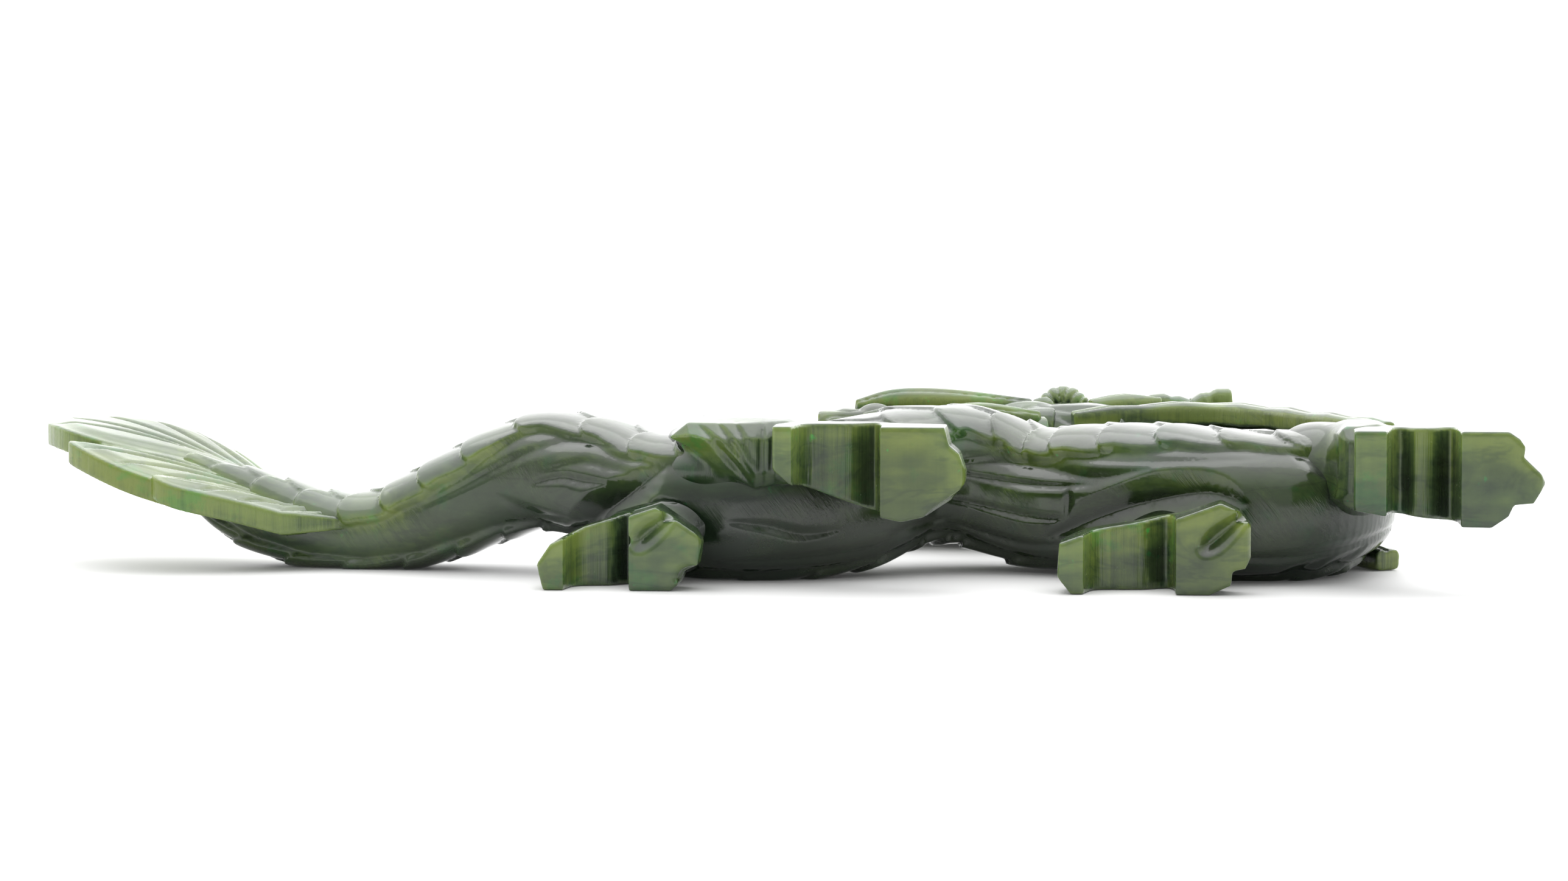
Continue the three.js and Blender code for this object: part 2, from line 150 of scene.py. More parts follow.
class Path:
    """A smooth line through rows of (x, y, z, half width, half thickness), with a frame along it."""

    def __init__(self, rows, step=0.8):
        rows = np.array(rows, float)
        pts = extended(rows)
        spans = []
        for p0, p1, p2, p3 in zip(pts, pts[1:], pts[2:], pts[3:]):
            n = max(2, int(np.linalg.norm(p2[:3] - p1[:3]) / step))
            spans.append(between(p0, p1, p2, p3, np.arange(n)[:, None] / n))
        line = np.vstack(spans + [rows[-1:]])
        self.at = line[:, :3]
        self.half = np.maximum(line[:, 3:5], 0.05)
        self.rest = line[:, 5:]
        self.tangent = np.gradient(self.at, axis=0)
        self.tangent /= np.linalg.norm(self.tangent, axis=1, keepdims=True)
        self.across = np.cross([0, 0, 1], self.tangent)
        self.across /= np.linalg.norm(self.across, axis=1, keepdims=True) + 1e-9
        self.through = np.cross(self.tangent, self.across)
        steps = np.linalg.norm(np.diff(self.at, axis=0), axis=1)
        self.length = np.concatenate([[0], np.cumsum(steps)])

    def nearest(self, p):
        """Index of the nearest sample to each point: first among every sixth sample, then around it."""
        every = self.at[::6].astype(np.float32)
        best = np.full(len(p), 1e18, np.float32)
        index = np.zeros(len(p), np.int32)
        for k, c in enumerate(every):
            d = ((p - c) ** 2).sum(1)
            nearer = d < best
            best[nearer] = d[nearer]
            index[nearer] = k * 6
        start = index.copy()
        for offset in range(-6, 7):
            k = np.clip(start + offset, 0, len(self.at) - 1)
            d = ((p - self.at[k]) ** 2).sum(1)
            nearer = d < best
            best[nearer] = d[nearer]
            index[nearer] = k[nearer]
        return index

    def coordinates(self, p):
        """For each point: distance along, offsets across and through, half sizes, how far past an end."""
        k = self.nearest(p)
        along = ((p - self.at[k]) * self.tangent[k]).sum(1)
        s = self.length[k] + along
        past = np.maximum(s - self.length[-1], -s)
        s = np.clip(s, 0, self.length[-1])

        def follow(values):
            return np.stack([np.interp(s, self.length, values[:, i]) for i in range(values.shape[1])], 1)

        offset = p - follow(self.at)
        u = (offset * follow(self.across)).sum(1)
        v = (offset * follow(self.through)).sum(1)
        half = follow(self.half)
        return s, u, v, half[:, 0], half[:, 1], past


def section(u, v, a, b, power):
    """Distance to a superellipse of half sizes a and b."""
    q = (np.abs(u / a) ** power + np.abs(v / b) ** power) ** (1 / power)
    return np.hypot(u, v) * (1 - 1 / np.maximum(q, 0.05))


def ended(side, past, flat_end):
    """A path's field with its ends sawn square, or else rounded."""
    if flat_end:
        return both(side, past, 0.3)
    return np.where(past > 0, np.hypot(np.maximum(side, 0), past) + np.minimum(side, 0) * 0.3, side)


def tube(rows, power=2.0, flat_end=False, step=0.8):
    """A field around a path, with round ends, or with ends sawn square."""
    path = Path(rows, step)

    def field(p):
        _, u, v, a, b, past = path.coordinates(p)
        side = section(u, v, a, b, power)
        return ended(side, past, flat_end)

    return field


def blob(centre, half):
    """An ellipsoid."""

    def field(p):
        q = np.linalg.norm((p - np.array(centre)) / np.array(half), axis=1)
        return (q - 1) * min(half) * 0.9

    return field


def outline(points, x, y):
    """Distance to a closed polygon in a plane."""
    pts = np.array(points, float)
    distance = np.full(len(x), 1e9)
    inside = np.zeros(len(x), bool)
    for (x0, y0), (x1, y1) in zip(pts, np.roll(pts, -1, axis=0)):
        ex, ey = x1 - x0, y1 - y0
        if ex * ex + ey * ey < 1e-9:
            continue
        wx, wy = x - x0, y - y0
        t = np.clip((wx * ex + wy * ey) / (ex * ex + ey * ey), 0, 1)
        distance = np.minimum(distance, (wx - ex * t) ** 2 + (wy - ey * t) ** 2)
        crosses = (y0 > y) != (y1 > y)
        if ey:
            inside ^= crosses & (x < x0 + (y - y0) * ex / ey)
    return np.where(inside, -1, 1) * np.sqrt(distance)


def curve(points, count=6):
    """Points along a smooth line through the given ones, in a plane."""
    pts = extended(np.array(points, float))
    t = np.arange(count)[:, None] / count
    spans = [between(*four, t) for four in zip(pts, pts[1:], pts[2:], pts[3:])]
    return np.vstack(spans + [pts[-2]])


def stroke(line, x, y, width):
    """How deep a leaf-shaped knife stroke is at each point of a plane: 1 on its line, 0 past its width."""
    total = len(line) - 1
    depth = np.zeros(len(x))
    for i in range(total):
        (x0, y0), (x1, y1) = line[i], line[i + 1]
        ex, ey = x1 - x0, y1 - y0
        wx, wy = x - x0, y - y0
        t = np.clip((wx * ex + wy * ey) / (ex * ex + ey * ey + 1e-9), 0, 1)
        away = np.hypot(wx - ex * t, wy - ey * t)
        leaf = np.sin(np.pi * np.clip((i + t) / total, 0.02, 0.98)) ** 0.6
        depth = np.maximum(depth, leaf - away / width)
    return depth


def engraved(strokes, x, y):
    """Depth, in millimetres, of knife strokes of (width, depth, points) in a plane."""
    depth = np.zeros(len(x))
    for width, deep, points in strokes:
        line = curve(points)
        low, high = line.min(axis=0) - width, line.max(axis=0) + width
        near = (x > low[0]) & (x < high[0]) & (y > low[1]) & (y < high[1])
        if near.any():
            depth[near] = np.maximum(depth[near], deep * stroke(line, x[near], y[near], width))
    return depth


# Meshing --------------------
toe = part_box("fore_upper_paw")[1].x / MM
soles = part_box("fore_upper_paw")[0].y / MM
table_top = cad_box[0].z / MM
DRAWING = np.array([toe - TOE_X, soles, table_top])  # where the drawing's origin is in the frame
BLOCK = 4  # voxels along a block's side
HALF_DIAGONAL = 0.87  # of a block, in block sides
SLACK = 2.8  # how far a carved field may be from the true distance
FAR = 3.0  # the value away from the surface
BATCH = 250_000  # points worked out at once
carved = []  # the pieces
everything = []  # (field, low, high) of every piece, for the thickness of the stone


def evaluate(field, low, shape, voxel):
    """The field's values on a grid: only in blocks near the surface, and a rough value elsewhere."""
    blocks = [math.ceil(n / BLOCK) for n in shape]
    size = voxel * BLOCK
    axes = [low[i] + (np.arange(blocks[i]) + 0.5) * size for i in range(3)]
    centres = np.stack(np.meshgrid(*axes, indexing="ij"), -1).reshape(-1, 3)
    rough = in_batches(field, centres)
    near = np.abs(rough) < size * HALF_DIAGONAL + SLACK
    values = np.repeat(np.sign(rough)[:, None] * FAR, BLOCK**3, 1).astype(np.float32)
    steps = (np.arange(BLOCK) + 0.5) * voxel - size / 2
    inner = np.stack(np.meshgrid(steps, steps, steps, indexing="ij"), -1).reshape(-1, 3)
    points = (centres[near][:, None, :] + inner[None]).reshape(-1, 3)
    values[near] = in_batches(field, points).reshape(-1, BLOCK**3)
    grid = values.reshape(*blocks, BLOCK, BLOCK, BLOCK).transpose(0, 3, 1, 4, 2, 5)
    return np.ascontiguousarray(grid.reshape([n * BLOCK for n in blocks]))


def in_batches(field, points):
    """The field's values at many points, without using much memory."""
    if not len(points):
        return np.zeros(0)
    return np.concatenate([field(points[i:i + BATCH]) for i in range(0, len(points), BATCH)])


def slab_cut(field):
    """The field kept within the slab's two sawn faces, with their edges just softened."""

    def inside(p):
        return both(field(p), np.abs(p[:, 2] - MID) - MID, 0.25)

    return inside


def carve(name, field, low, high, voxel, nodes, slot_name):
    """Meshes a field into a piece that stands for CAD nodes."""
    low, high = np.array(low, float) - 2 * voxel, np.array(high, float) + 2 * voxel
    field = slab_cut(field)
    shape = np.ceil((high - low) / voxel).astype(int)
    values = evaluate(field, low, shape, voxel)
    grid = openvdb.FloatGrid(FAR)
    grid.copyFromArray(values)
    points, quads = grid.convertToQuads(isovalue=0)
    points = (points + 0.5) * voxel + low
    mesh = bpy.data.meshes.new(name)
    corners = points[quads]
    normals = np.cross(corners[:, 1] - corners[:, 0], corners[:, 2] - corners[:, 0])
    if (corners[:, 0] * normals).sum() < 0:
        quads = quads[:, ::-1]
    mesh.vertices.add(len(points))
    mesh.vertices.foreach_set("co", ((points + DRAWING) * MM).ravel())
    mesh.loops.add(quads.size)
    mesh.loops.foreach_set("vertex_index", quads.ravel())
    mesh.polygons.add(len(quads))
    mesh.polygons.foreach_set("loop_start", np.arange(0, quads.size, 4))
    mesh.polygons.foreach_set("use_smooth", np.ones(len(quads), bool))
    mesh.update(calc_edges=True)
    mesh.validate()
    piece = bpy.data.objects.new(name, mesh)
    bpy.context.collection.objects.link(piece)
    ratio = MOST_FACES / (2 * len(quads))
    if ratio < 1:
        fewer = piece.modifiers.new("fewer", "DECIMATE")
        fewer.ratio = ratio
        bpy.context.view_layer.objects.active = piece
        bpy.ops.object.modifier_apply(modifier=fewer.name)
    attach(piece, "root")
    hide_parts(*nodes)
    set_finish(piece, slot_name)
    everything.append((field, low, high))
    carved.append(piece)


# Body: the spine's tube, with scales on both flanks and over the back, and a smooth belly ----------
SCALE_ROWS = 3  # from the middle of the back to the belly's edge
SCALE_REACH = 0.66  # half width of a scale, in rows: over a half, so neighbours overlap
SCALE_PITCH = 9.2  # along the body
LOWER_EDGE = 0.84  # the scales of the lower flank stop farther from the belly
EDGE_WAVE = 0.05  # how far, in radians, the last row's arcs reach over the belly
SCALE_STEP = 1.5  # how far a scale's free edge stands over the next one

# Knife strokes on the belly side, drawn on the plane of the soles: width, depth, and points in x and z.
BELLY_STROKES = [
    (1.3, 0.4, [(-67, 10.5), (-58, 15), (-50, 19.3), (-44.5, 21.7), (-39, 23), (-33.5, 22.9), (-28, 22)]),
    (1.6, 0.5, [(-43, 18.4), (-36, 19.8), (-31.5, 19), (-25, 18)]),
    (1.3, 0.9, [(-46, 15.8), (-40, 17.2), (-36, 16.7), (-29, 16.3)]),
    (1.5, 0.9, [(-11, 10.6), (-4, 9.8), (2, 8.4), (9, 9.2)]),
    (1.7, 0.8, [(-13, 3.6), (2, 4.2), (13.5, 5.6), (18.5, 8.5), (26, 10)]),
    (1.2, 0.3, [(22, 20.4), (35, 21), (45.5, 20.6), (56, 20.4), (70.5, 20.9), (80, 21.4)]),
    (2.8, 1.1, [(26, 19), (35, 19.3), (44, 18.2), (51, 17.4), (60, 19.4)]),
    (1.2, 0.9, [(24, 18), (34, 16.4), (40.5, 15.8), (49, 16.2), (56, 17.6)]),
    (1.2, 0.9, [(24, 13.6), (34, 11.4), (40.5, 10.3), (48, 10.3)]),
    (1.3, 0.8, [(24, 9.6), (34, 6.5), (40.5, 5.4), (48, 6.3)]),
    (1.0, 0.6, [(46.6, 19.5), (46.3, 15), (46, 9), (46, 1)]),
    (5.0, 2.8, [(43, 7), (52, 11), (61, 14), (70, 15.5), (76, 14)]),
    (1.6, 0.9, [(70, 5), (82, 4.7), (92, 6), (103, 9)]),
    (1.5, 0.8, [(81, 0.5), (87, 3.2), (92, 5)]),
    (1.5, 0.8, [(88.5, 0.8), (92, 3.5), (97, 6.5)]),
    (4.6, 2.8, [(-39, 7), (-31.5, 12), (-22, 19)]),
    (2.6, 0.6, [(-26.5, 14.7), (-19.5, 11.2), (-12.5, 7.5)]),
    (1.6, 0.8, [(-52, 14), (-46, 11), (-38, 10)]),
    (1.6, 0.7, [(83, 22.5), (89, 20), (95, 17)]),
    (1.6, 0.7, [(84, 24.5), (90, 22), (96, 19)]),
]


class Body(Path):
    """The spine, which also knows how far round the scales reach."""

    def __init__(self, rows):
        super().__init__(rows)
        self.belly_edge = np.radians(self.rest[:, 0])

    def station(self, index):
        """Distance along the spine of one of its rows, counted with fractions."""
        lower = int(index)
        upper = min(lower + 1, len(SPINE) - 1)
        share = index - lower
        place = np.array(SPINE[lower][:3]) * (1 - share) + np.array(SPINE[upper][:3]) * share
        return self.length[np.argmin(((self.at - place) ** 2).sum(1))]

    def scales(self, s, angle, edge):
        """Height of the scales, from 0 to 1: each rises to a round free edge towards the tail."""
        x = s / SCALE_PITCH
        y = np.abs(angle) / edge * SCALE_ROWS
        height = np.zeros(len(s))
        for row in (-1, 0, 1):
            j = np.floor(y) + row
            dy = (y - (j + 0.5)) / SCALE_REACH
            wide = np.sqrt(np.clip(1 - dy * dy, 0, 1))
            shift = 0.5 * np.mod(j, 2)
            for column in (0, 1, 2):
                i = np.floor(x - shift) + column
                edge_at = i + shift - 0.62 * wide + 0.1
                back = x - edge_at
                here = smooth(back, 0.0, 0.1) * (1 - 0.6 * np.clip(back, 0, 1.5)) * (0.62 + 0.38 * wide)
                on_scale = (np.abs(dy) < 1) & (back > 0) & (j < SCALE_ROWS)
                height = np.maximum(height, np.where(on_scale, here, 0))
        return height


spine = Body(SPINE)


def body_field(p):
    """The tube, raised where it has scales and cut by the belly's strokes."""
    s, u, v, a, b, past = spine.coordinates(p)
    side = section(u, v, a, b, 2.5)
    angle = np.arctan2(v / b, u / a)
    edge = np.interp(s, spine.length, spine.belly_edge) * np.where(angle < 0, LOWER_EDGE, 1)
    edge = edge + EDGE_WAVE * (np.abs(np.sin(np.pi * s / SCALE_PITCH)) - 0.7)
    scaled = 1 - smooth(np.abs(angle), edge - 0.04, edge + 0.11)
    size = np.clip((a + b) / 15, 0.5, 1)
    side = side - scaled * size * (0.5 + SCALE_STEP * spine.scales(s, angle, edge)) + 0.75 * size
    belly = (u < 0) & (np.abs(side) < 6)
    side[belly] += engraved(BELLY_STROKES, p[belly, 0], p[belly, 2]) * smooth(-u / a, 0.1, 0.4)[belly]
    return np.where(past > 0, np.hypot(np.maximum(side, 0), past), side)


carve("dragon_body", body_field, (-113, 12, 0), (106, 102, SLAB), BODY_VOXEL, SPINE_NODES, "jade_thick")

# Crest: flame-shaped teeth along the back, leaning towards the tail.
CREST_THICK = 2.6
# Where each crest starts and ends, in rows of the spine, then its height and the pitch of its teeth.
CRESTS = {"tail_crest": (2.2, 8, 3, 5.5), "back_crest": (8.3, 19.2, 3.6, 6.5)}


def crest_field(first, last, height, pitch):
    """Teeth along the back, from one row of the spine to another."""
    start, end = spine.station(first), spine.station(last)
    teeth = round((end - start) / pitch)

    def field(p):
        s, u, v, a, _, _ = spine.coordinates(p)
        out = u - a
        lean = 0.5 * np.clip(out, -1, height)
        share = np.mod((s - start + lean) / (end - start) * teeth, 1)
        top = height * np.where(share < 0.12, 0.3 + 5.8 * share, 1 - 0.78 * (share - 0.12) / 0.88)
        vein = 0.35 * np.clip(1 - np.abs(share - 0.45) / 0.12, 0, 1) * smooth(out, -0.5, 1)
        half = CREST_THICK / 2 * (1 - 0.55 * np.clip(out / height, 0, 1)) - vein
        tooth = both(out - top, np.abs(v) - half, 0.4)
        return np.maximum(np.maximum(tooth * 0.8, -out - 4), np.maximum(start - s, s - end))

    return field


for name, (first, last, height, pitch) in CRESTS.items():
    rows = np.array(SPINE[int(first):int(last) + 2])
    low, high = rows[:, :3].min(axis=0) - 4, rows[:, :3].max(axis=0) + (4, 22, 4)
    low[2], high[2] = max(low[2], 0), min(high[2], SLAB)
    carve(name, crest_field(first, last, height, pitch), low, high, FINE_VOXEL, [name], "jade_thin")

# Tail fan --------------------
FAN_THICK = 4.6
FAN_LOBES = {
    "fan_near_lobe": [(-68, 41), (-73, 37), (-83, 32.6), (-91, 28.8), (-99, 25.4), (-107, 22.3), (-111, 24),
                      (-110, 27), (-101, 33), (-90, 40), (-80, 44)],
    "fan_middle_lobe": [(-78, 41), (-90, 34), (-104, 27), (-114, 25), (-121, 26.8), (-126.6, 31),
                        (-127.4, 34), (-124, 37), (-118, 41), (-104, 47), (-88, 47)],
    "fan_far_lobe": [(-84, 43), (-104, 42), (-118, 38.5), (-124, 38), (-130, 41), (-134.4, 48), (-135.2, 55),
                     (-132, 60), (-125, 62.6), (-115, 63.5), (-105, 61), (-94, 55), (-84, 48)],
}
LOBE_LIFTS = (0.9, 0.0, 0.5)
FAN_X = -90  # where the fan starts to rise
FAN_LENGTH = 36  # from there to the tip
FAN_Y = 27  # its near edge
FAN_WIDTH = 35  # from there to its far edge
GROOVE = (0.9, 0.8)  # width and depth of a groove in a lobe
# The grooves of each lobe: the first and the last one's inner end, then all their outer ends, as x and y.
FAN_GROOVES = [
    ((-92, 38), (-76, 38), [(-109, 25), (-104, 24.3), (-97.5, 26.6), (-90.5, 30.6), (-84, 34)]),
    ((-106, 40), (-90, 38.5), [(-125.5, 34.5), (-124.3, 30.3), (-118, 27), (-111.5, 26.2), (-103.5, 29)]),
    ((-109, 47.5), (-90, 49), [(-133.5, 46.5), (-134, 53.5), (-129.5, 60), (-120.5, 62.3), (-111.5, 62),
                               (-103.5, 59.5), (-96.5, 56)]),
]


def groove_strokes(first, last, ends):
    """Curved strokes from a line between two points to the given ends."""
    strokes = []
    for i, (x1, y1) in enumerate(ends):
        share = i / (len(ends) - 1)
        x0 = first[0] + (last[0] - first[0]) * share
        y0 = first[1] + (last[1] - first[1]) * share
        bend = 0.08 * (y1 - y0)
        middle = ((x0 + x1) / 2 + bend, (y0 + y1) / 2 - bend)
        strokes.append((*GROOVE, [(x0, y0), middle, (x1, y1)]))
    return strokes


def fan_height(x, y):
    """Height of the fan's middle: its near edge rises steadily to the tip, its far edge arches above it."""
    u = (FAN_X - x) / FAN_LENGTH
    near = 7.4 + np.where(u > 0, 12.1, 3) * u
    far = 9.5 + np.where(u > 0, 24 * u - 11.5 * u * u, 0)
    return near + (far - near) * (y - FAN_Y) / FAN_WIDTH


FAN_STROKES = [groove_strokes(*grooves) for grooves in FAN_GROOVES]


def fan_field(p):
    """The three lobes, each dished, grooved and thinner towards its root."""
    x, y, z = p.T
    whole = np.full(len(p), 50.0)
    for lift, points, strokes in zip(LOBE_LIFTS, FAN_LOBES.values(), FAN_STROKES):
        side = outline(curve(points + [points[0]], 4), x, y)
        middle = fan_height(x, y) + lift
        dish = 0.7 * smooth(side, -4.5, -0.5)
        thick = FAN_THICK / 2 * (1 - 0.55 * smooth(x, -92, -74))
        faces = np.abs(z - middle) * 0.95 - (thick + 0.35 - dish) + engraved(strokes, x, y)
        whole = join(whole, both(side, faces, 0.5), 0.15)
    return whole


carve("tail_fan", fan_field, (-137, 20, 2), (-72, 66, 27), LIMB_VOXEL, list(FAN_LOBES), "jade_thin")

# Legs --------------------
PAW_HEIGHT = 15
ARCH_DEPTH = 8.6  # of the hollow between the heel claw and the sole
CHAMFER = 1.7
SOLE_STROKES = [  # width, depth, and points in x and z
    (2.4, 1.9, [(-25, 7.2), (-23, 9.6), (-18, 13.2)]),
    (2.4, 2.1, [(69, 7.2), (71.5, 9.6), (77, 14.2)]),
    (1.6, 1.1, [(-18, 2), (-15, 4)]),
    (2.2, 1.4, [(23, 11), (27, 14), (31, 16.5)]),
]
LEG_STROKES = [  # on the thighs
    (1.2, 0.8, [(-15.5, 27), (-11, 22.5), (-6.5, 17)]),
    (1.1, 0.7, [(-12.5, 27.4), (-9.5, 23.5), (-6.2, 18.5)]),
    (1.0, 0.6, [(-9.5, 27.4), (-7.8, 24.5), (-5.8, 20.5)]),
    (1.0, 0.6, [(-4.6, 28), (-4.7, 22), (-4.8, 16)]),
    (0.9, 0.5, [(-2.8, 28), (-2.9, 22), (-2.9, 16)]),
    (1.6, 0.7, [(91.6, 28), (91.6, 20), (91.8, 13)]),
]
# Each leg: the marks along its paw, the paw's outline seen from below as x and z, and how deep its hollow is
# beside the heel claw; the limb's rows; the thigh's outline, how far its front is from the sole, and the
# swelling where it grows out of the body.
LEGS = {
    "hind_upper": {
        "heel": -2.1, "claw": 3.3, "sole": 15.9, "toe": 30.2, "slot": 1.05,
        "outline": [(-2.1, 20.5), (1.1, 17.7), (13.9, 12.9), (19.4, 11.8), (23.5, 12.7), (27.5, 15.3),
                    (30, 18.3), (30.2, 20.3), (29, 23.3), (27.4, 24.6), (26.6, 27.6), (-2.1, 27.6)],
        "hip": (-12, 30, 19.6, 12, 8.4), "knee": (-4, 20, 22.4, 8, 5.4), "ankle": (6.5, 12.5, 22, 6, 5.2),
        "thigh": [(-20.6, 24.8), (-17.4, 27.4), (-1, 27.2), (-1, 17.5), (-6, 16.3), (-9.8, 19.3),
                  (-14.4, 22)],
        "front": 10.5, "root": ((-13.5, 22, 19), (9.2, 8.6, 5.5)),
    },
    "hind_lower": {
        "heel": -41.5, "claw": 4.5, "sole": -26, "toe": -13.7, "slot": 1.0,
        "outline": [(-40.4, 0), (-19, 0), (-17.7, 1.2), (-16.9, 3.2), (-14.5, 4.3), (-13.7, 8.4),
                    (-14.7, 9.7), (-17.7, 11.7), (-21.5, 14), (-25.2, 12.8), (-34.5, 10), (-37.1, 8.7),
                    (-39.2, 7.7), (-41.5, 4.3)],
        "hip": (-20, 28, 8.4, 11, 7.8), "knee": (-25, 19, 6, 8, 5.6), "ankle": (-31.5, 12.5, 5, 6, 4.6),
        "thigh": [(-33, 5), (-16, 5.5), (-15, 10), (-22, 13.5), (-30, 11.5)], "front": 12,
        "root": ((-17.5, 22, 11.5), (8, 8, 6.5)),
    },
    "fore_lower": {
        "heel": 45.2, "claw": 4.4, "sole": 64.8, "toe": 77.3, "slot": 1.05,
        "outline": [(47.6, 0), (70.3, 0), (74, 1.7), (74.2, 4), (76.3, 4.5), (77.3, 6.3), (77.3, 11.5),
                    (75.2, 14), (72.2, 15.3), (65.5, 12.9), (58, 11.3), (49.5, 9.9), (45.6, 8.5), (45.2, 3)],
        "hip": (67, 31, 7.6, 11, 7), "knee": (62, 19.5, 5.2, 8.2, 5), "ankle": (56.5, 12.5, 4.8, 6.4, 4.4),
        "thigh": [(54, 4), (74, 5), (74, 9), (71, 11.5), (63, 9.8), (54, 8)], "front": 12.5,
        "root": ((68, 27, 8.5), (10, 8, 7)),
    },
    "fore_upper": {
        "heel": 94, "claw": 5.4, "sole": 111.5, "toe": 125.4, "slot": 1.35,
        "outline": [(94, 14.2), (99.2, 13.3), (111.6, 11.6), (116.5, 11.5), (119.3, 13.4), (120.2, 15.3),
                    (123.4, 15.6), (125.4, 18.9), (124.7, 20.4), (121.8, 23.2), (122, 24.9), (121.1, 26.2),
                    (119.3, 27.4), (94, 27.4)],
        "hip": (90, 33, 17.6, 9, 9), "knee": (97.5, 21, 20, 5.6, 7.2), "ankle": (103.5, 12.8, 20.4, 6, 6.6),
        "thigh": [(91, 14.8), (91.2, 26), (93, 27.2), (98, 27.2), (98, 14), (94, 13.2)], "front": 12.5,
        "root": ((87, 30, 17), (8, 8, 8)),
    },
}


def arch_line(leg):
    """The hollow under the paw, from the heel claw to the sole: it deepens into a slot beside the sole."""
    claw, sole = leg["heel"] + leg["claw"], leg["sole"]
    wall = 0.2 * (sole - claw)
    near = leg["slot"]  # depth beside the heel claw
    shares = [(0, 0), (0.25, 0.5), (0.5, 0.8 * near), (1.1, 0.94 * near), (2, 1), (3.2, 1.06), (4.1, 1.3),
              (4.55, 1.34), (4.85, 1.0), (4.95, 0.5), (5, 0)]
    return curve([(claw + along * wall, up * ARCH_DEPTH) for along, up in shares], 3)


def paw_profile(leg, arch):
    """The paw from the side: heel claw, hollow arch, sole and toes."""
    heel, sole, toe_x = leg["heel"], leg["sole"], leg["toe"]
    claw = heel + leg["claw"]
    front = [(toe_x - 0.8, 0), (toe_x, 1), (toe_x, 4.4), (toe_x - 1.2, 7.4), (toe_x - 5, 9.4),
             (sole + 3, 11), (sole - 3, PAW_HEIGHT)]
    back = [(claw + 1.5, PAW_HEIGHT), (heel + 1.6, 11.6), (heel, 7.5), (heel, 0.5), (heel + 0.5, 0)]
    return [tuple(q) for q in arch] + front + back


def leg_field(leg):
    """A limb, a flat-fronted thigh and a paw with an arched hollow."""
    limb = tube([leg["hip"], leg["knee"], leg["ankle"]], 2.5)
    root = blob(*leg["root"])
    arch = arch_line(leg)
    profile = paw_profile(leg, arch)
    hollow = [tuple(q) for q in arch] + [(arch[-1][0], -9), (arch[0][0], -9)]

    def field(p):
        x, y, z = p.T
        from_below = outline(leg["outline"], x, z)
        paw = both(from_below, outline(profile, x, y), 0.35)
        wall, face = outline(leg["thigh"], x, z), leg["front"] - y
        chamfer = (wall + face) * 0.707 + CHAMFER
        thigh = both(both(wall, np.maximum(face, -13 - face), 0.4), chamfer, 0.2)
        upper = join(join(limb(p), root(p), 4), thigh, 2.5)
        upper = cut(upper, both(outline(hollow, x, y), from_below - 2, 0.3), 0.3)
        solid = join(upper, paw, 0.6)
        solid = solid + engraved(LEG_STROKES, x, z) * (1 - smooth(y, 16, 22))
        return solid + engraved(SOLE_STROKES, x, z) * (1 - smooth(y, 1.8, 3.4))

    return field


for name, leg in LEGS.items():
    low = (leg["heel"] - 22, 0, 0)
    high = (leg["toe"] + 8, 46, SLAB)
    nodes = [f"{name}_{part}" for part in ("thigh", "shank", "paw", "heel_claw")]
    carve(f"{name}_leg", leg_field(leg), low, high, LIMB_VOXEL, nodes, "jade_middle")

# Head: it looks back over the body, the same on both flanks --------------------
HEAD_STROKES = [  # width, depth, and points in x and y
    (1.3, 1.0, [(-2, 92.4), (10, 91.4), (22, 90.4), (33, 91), (39, 94.5)]),
    (1.1, 0.7, [(9, 100.5), (11, 97), (10, 93)]),
    (1.1, 0.7, [(14.5, 101), (17, 97), (16, 92.5)]),
    (1.2, 0.8, [(20.5, 102), (23.5, 97.5), (22.5, 92.5)]),
    (1.0, 1.1, [(6.6, 96), (4.8, 93.8), (2, 94.6), (1.6, 97), (3.4, 98.6), (5, 97.4), (4.2, 96.2)]),
    (1.0, 0.9, [(36.4, 99), (38.2, 97.1), (41.4, 96.4), (44.6, 97.4), (47, 99.6)]),
    (1.1, 0.9, [(36, 101), (38, 103), (41.5, 103.8), (45, 102.8)]),
    (1.3, 0.8, [(38, 93.5), (44, 91.5), (50, 91.6), (57, 94)]),
    (1.3, 0.8, [(42, 89.8), (48, 88), (55, 88.5), (60, 91)]),
    (1.2, 0.7, [(27, 98), (31, 96), (34, 93.5)]),
]
CROWN_STROKES = [  # the same for the top of the head, with points in x and out from the head's middle
    (1.6, 1.0, [(3, 1.4), (20, 1.9), (32, 3), (42, 2.2), (60, 1.8)]),
    (1.4, 1.2, [(2.4, 5.8), (4, 3.9), (6.8, 4.2), (7.8, 6.4), (6, 8)]),
    (1.4, 0.8, [(12, 3.4), (14.5, 5.6), (14, 9.5)]),
    (1.4, 0.8, [(16.5, 3.6), (19, 5.8), (18.5, 9.5)]),
    (1.4, 0.8, [(21, 3.8), (23.5, 6), (23, 9.8)]),
    (1.4, 0.8, [(25.5, 4.2), (28, 6.2), (27.5, 10)]),
    (1.5, 0.9, [(33, 6.4), (38, 5.2), (44, 5.4), (52, 4.4), (62, 5.6)]),
    (1.5, 0.9, [(36, 9.4), (42, 8.2), (50, 7.4), (62, 8.2)]),
]
TEETH = [(1.6, 1.9, 5.2), (7.4, 0.9, 2.3), (10.4, 0.9, 2.3), (13.4, 0.9, 2.3), (16.4, 0.9, 2.3),
         (23.5, 1.6, 4.2)]  # x, half width and length
TOOTH_OUT = 7.6  # of the teeth from the head's middle
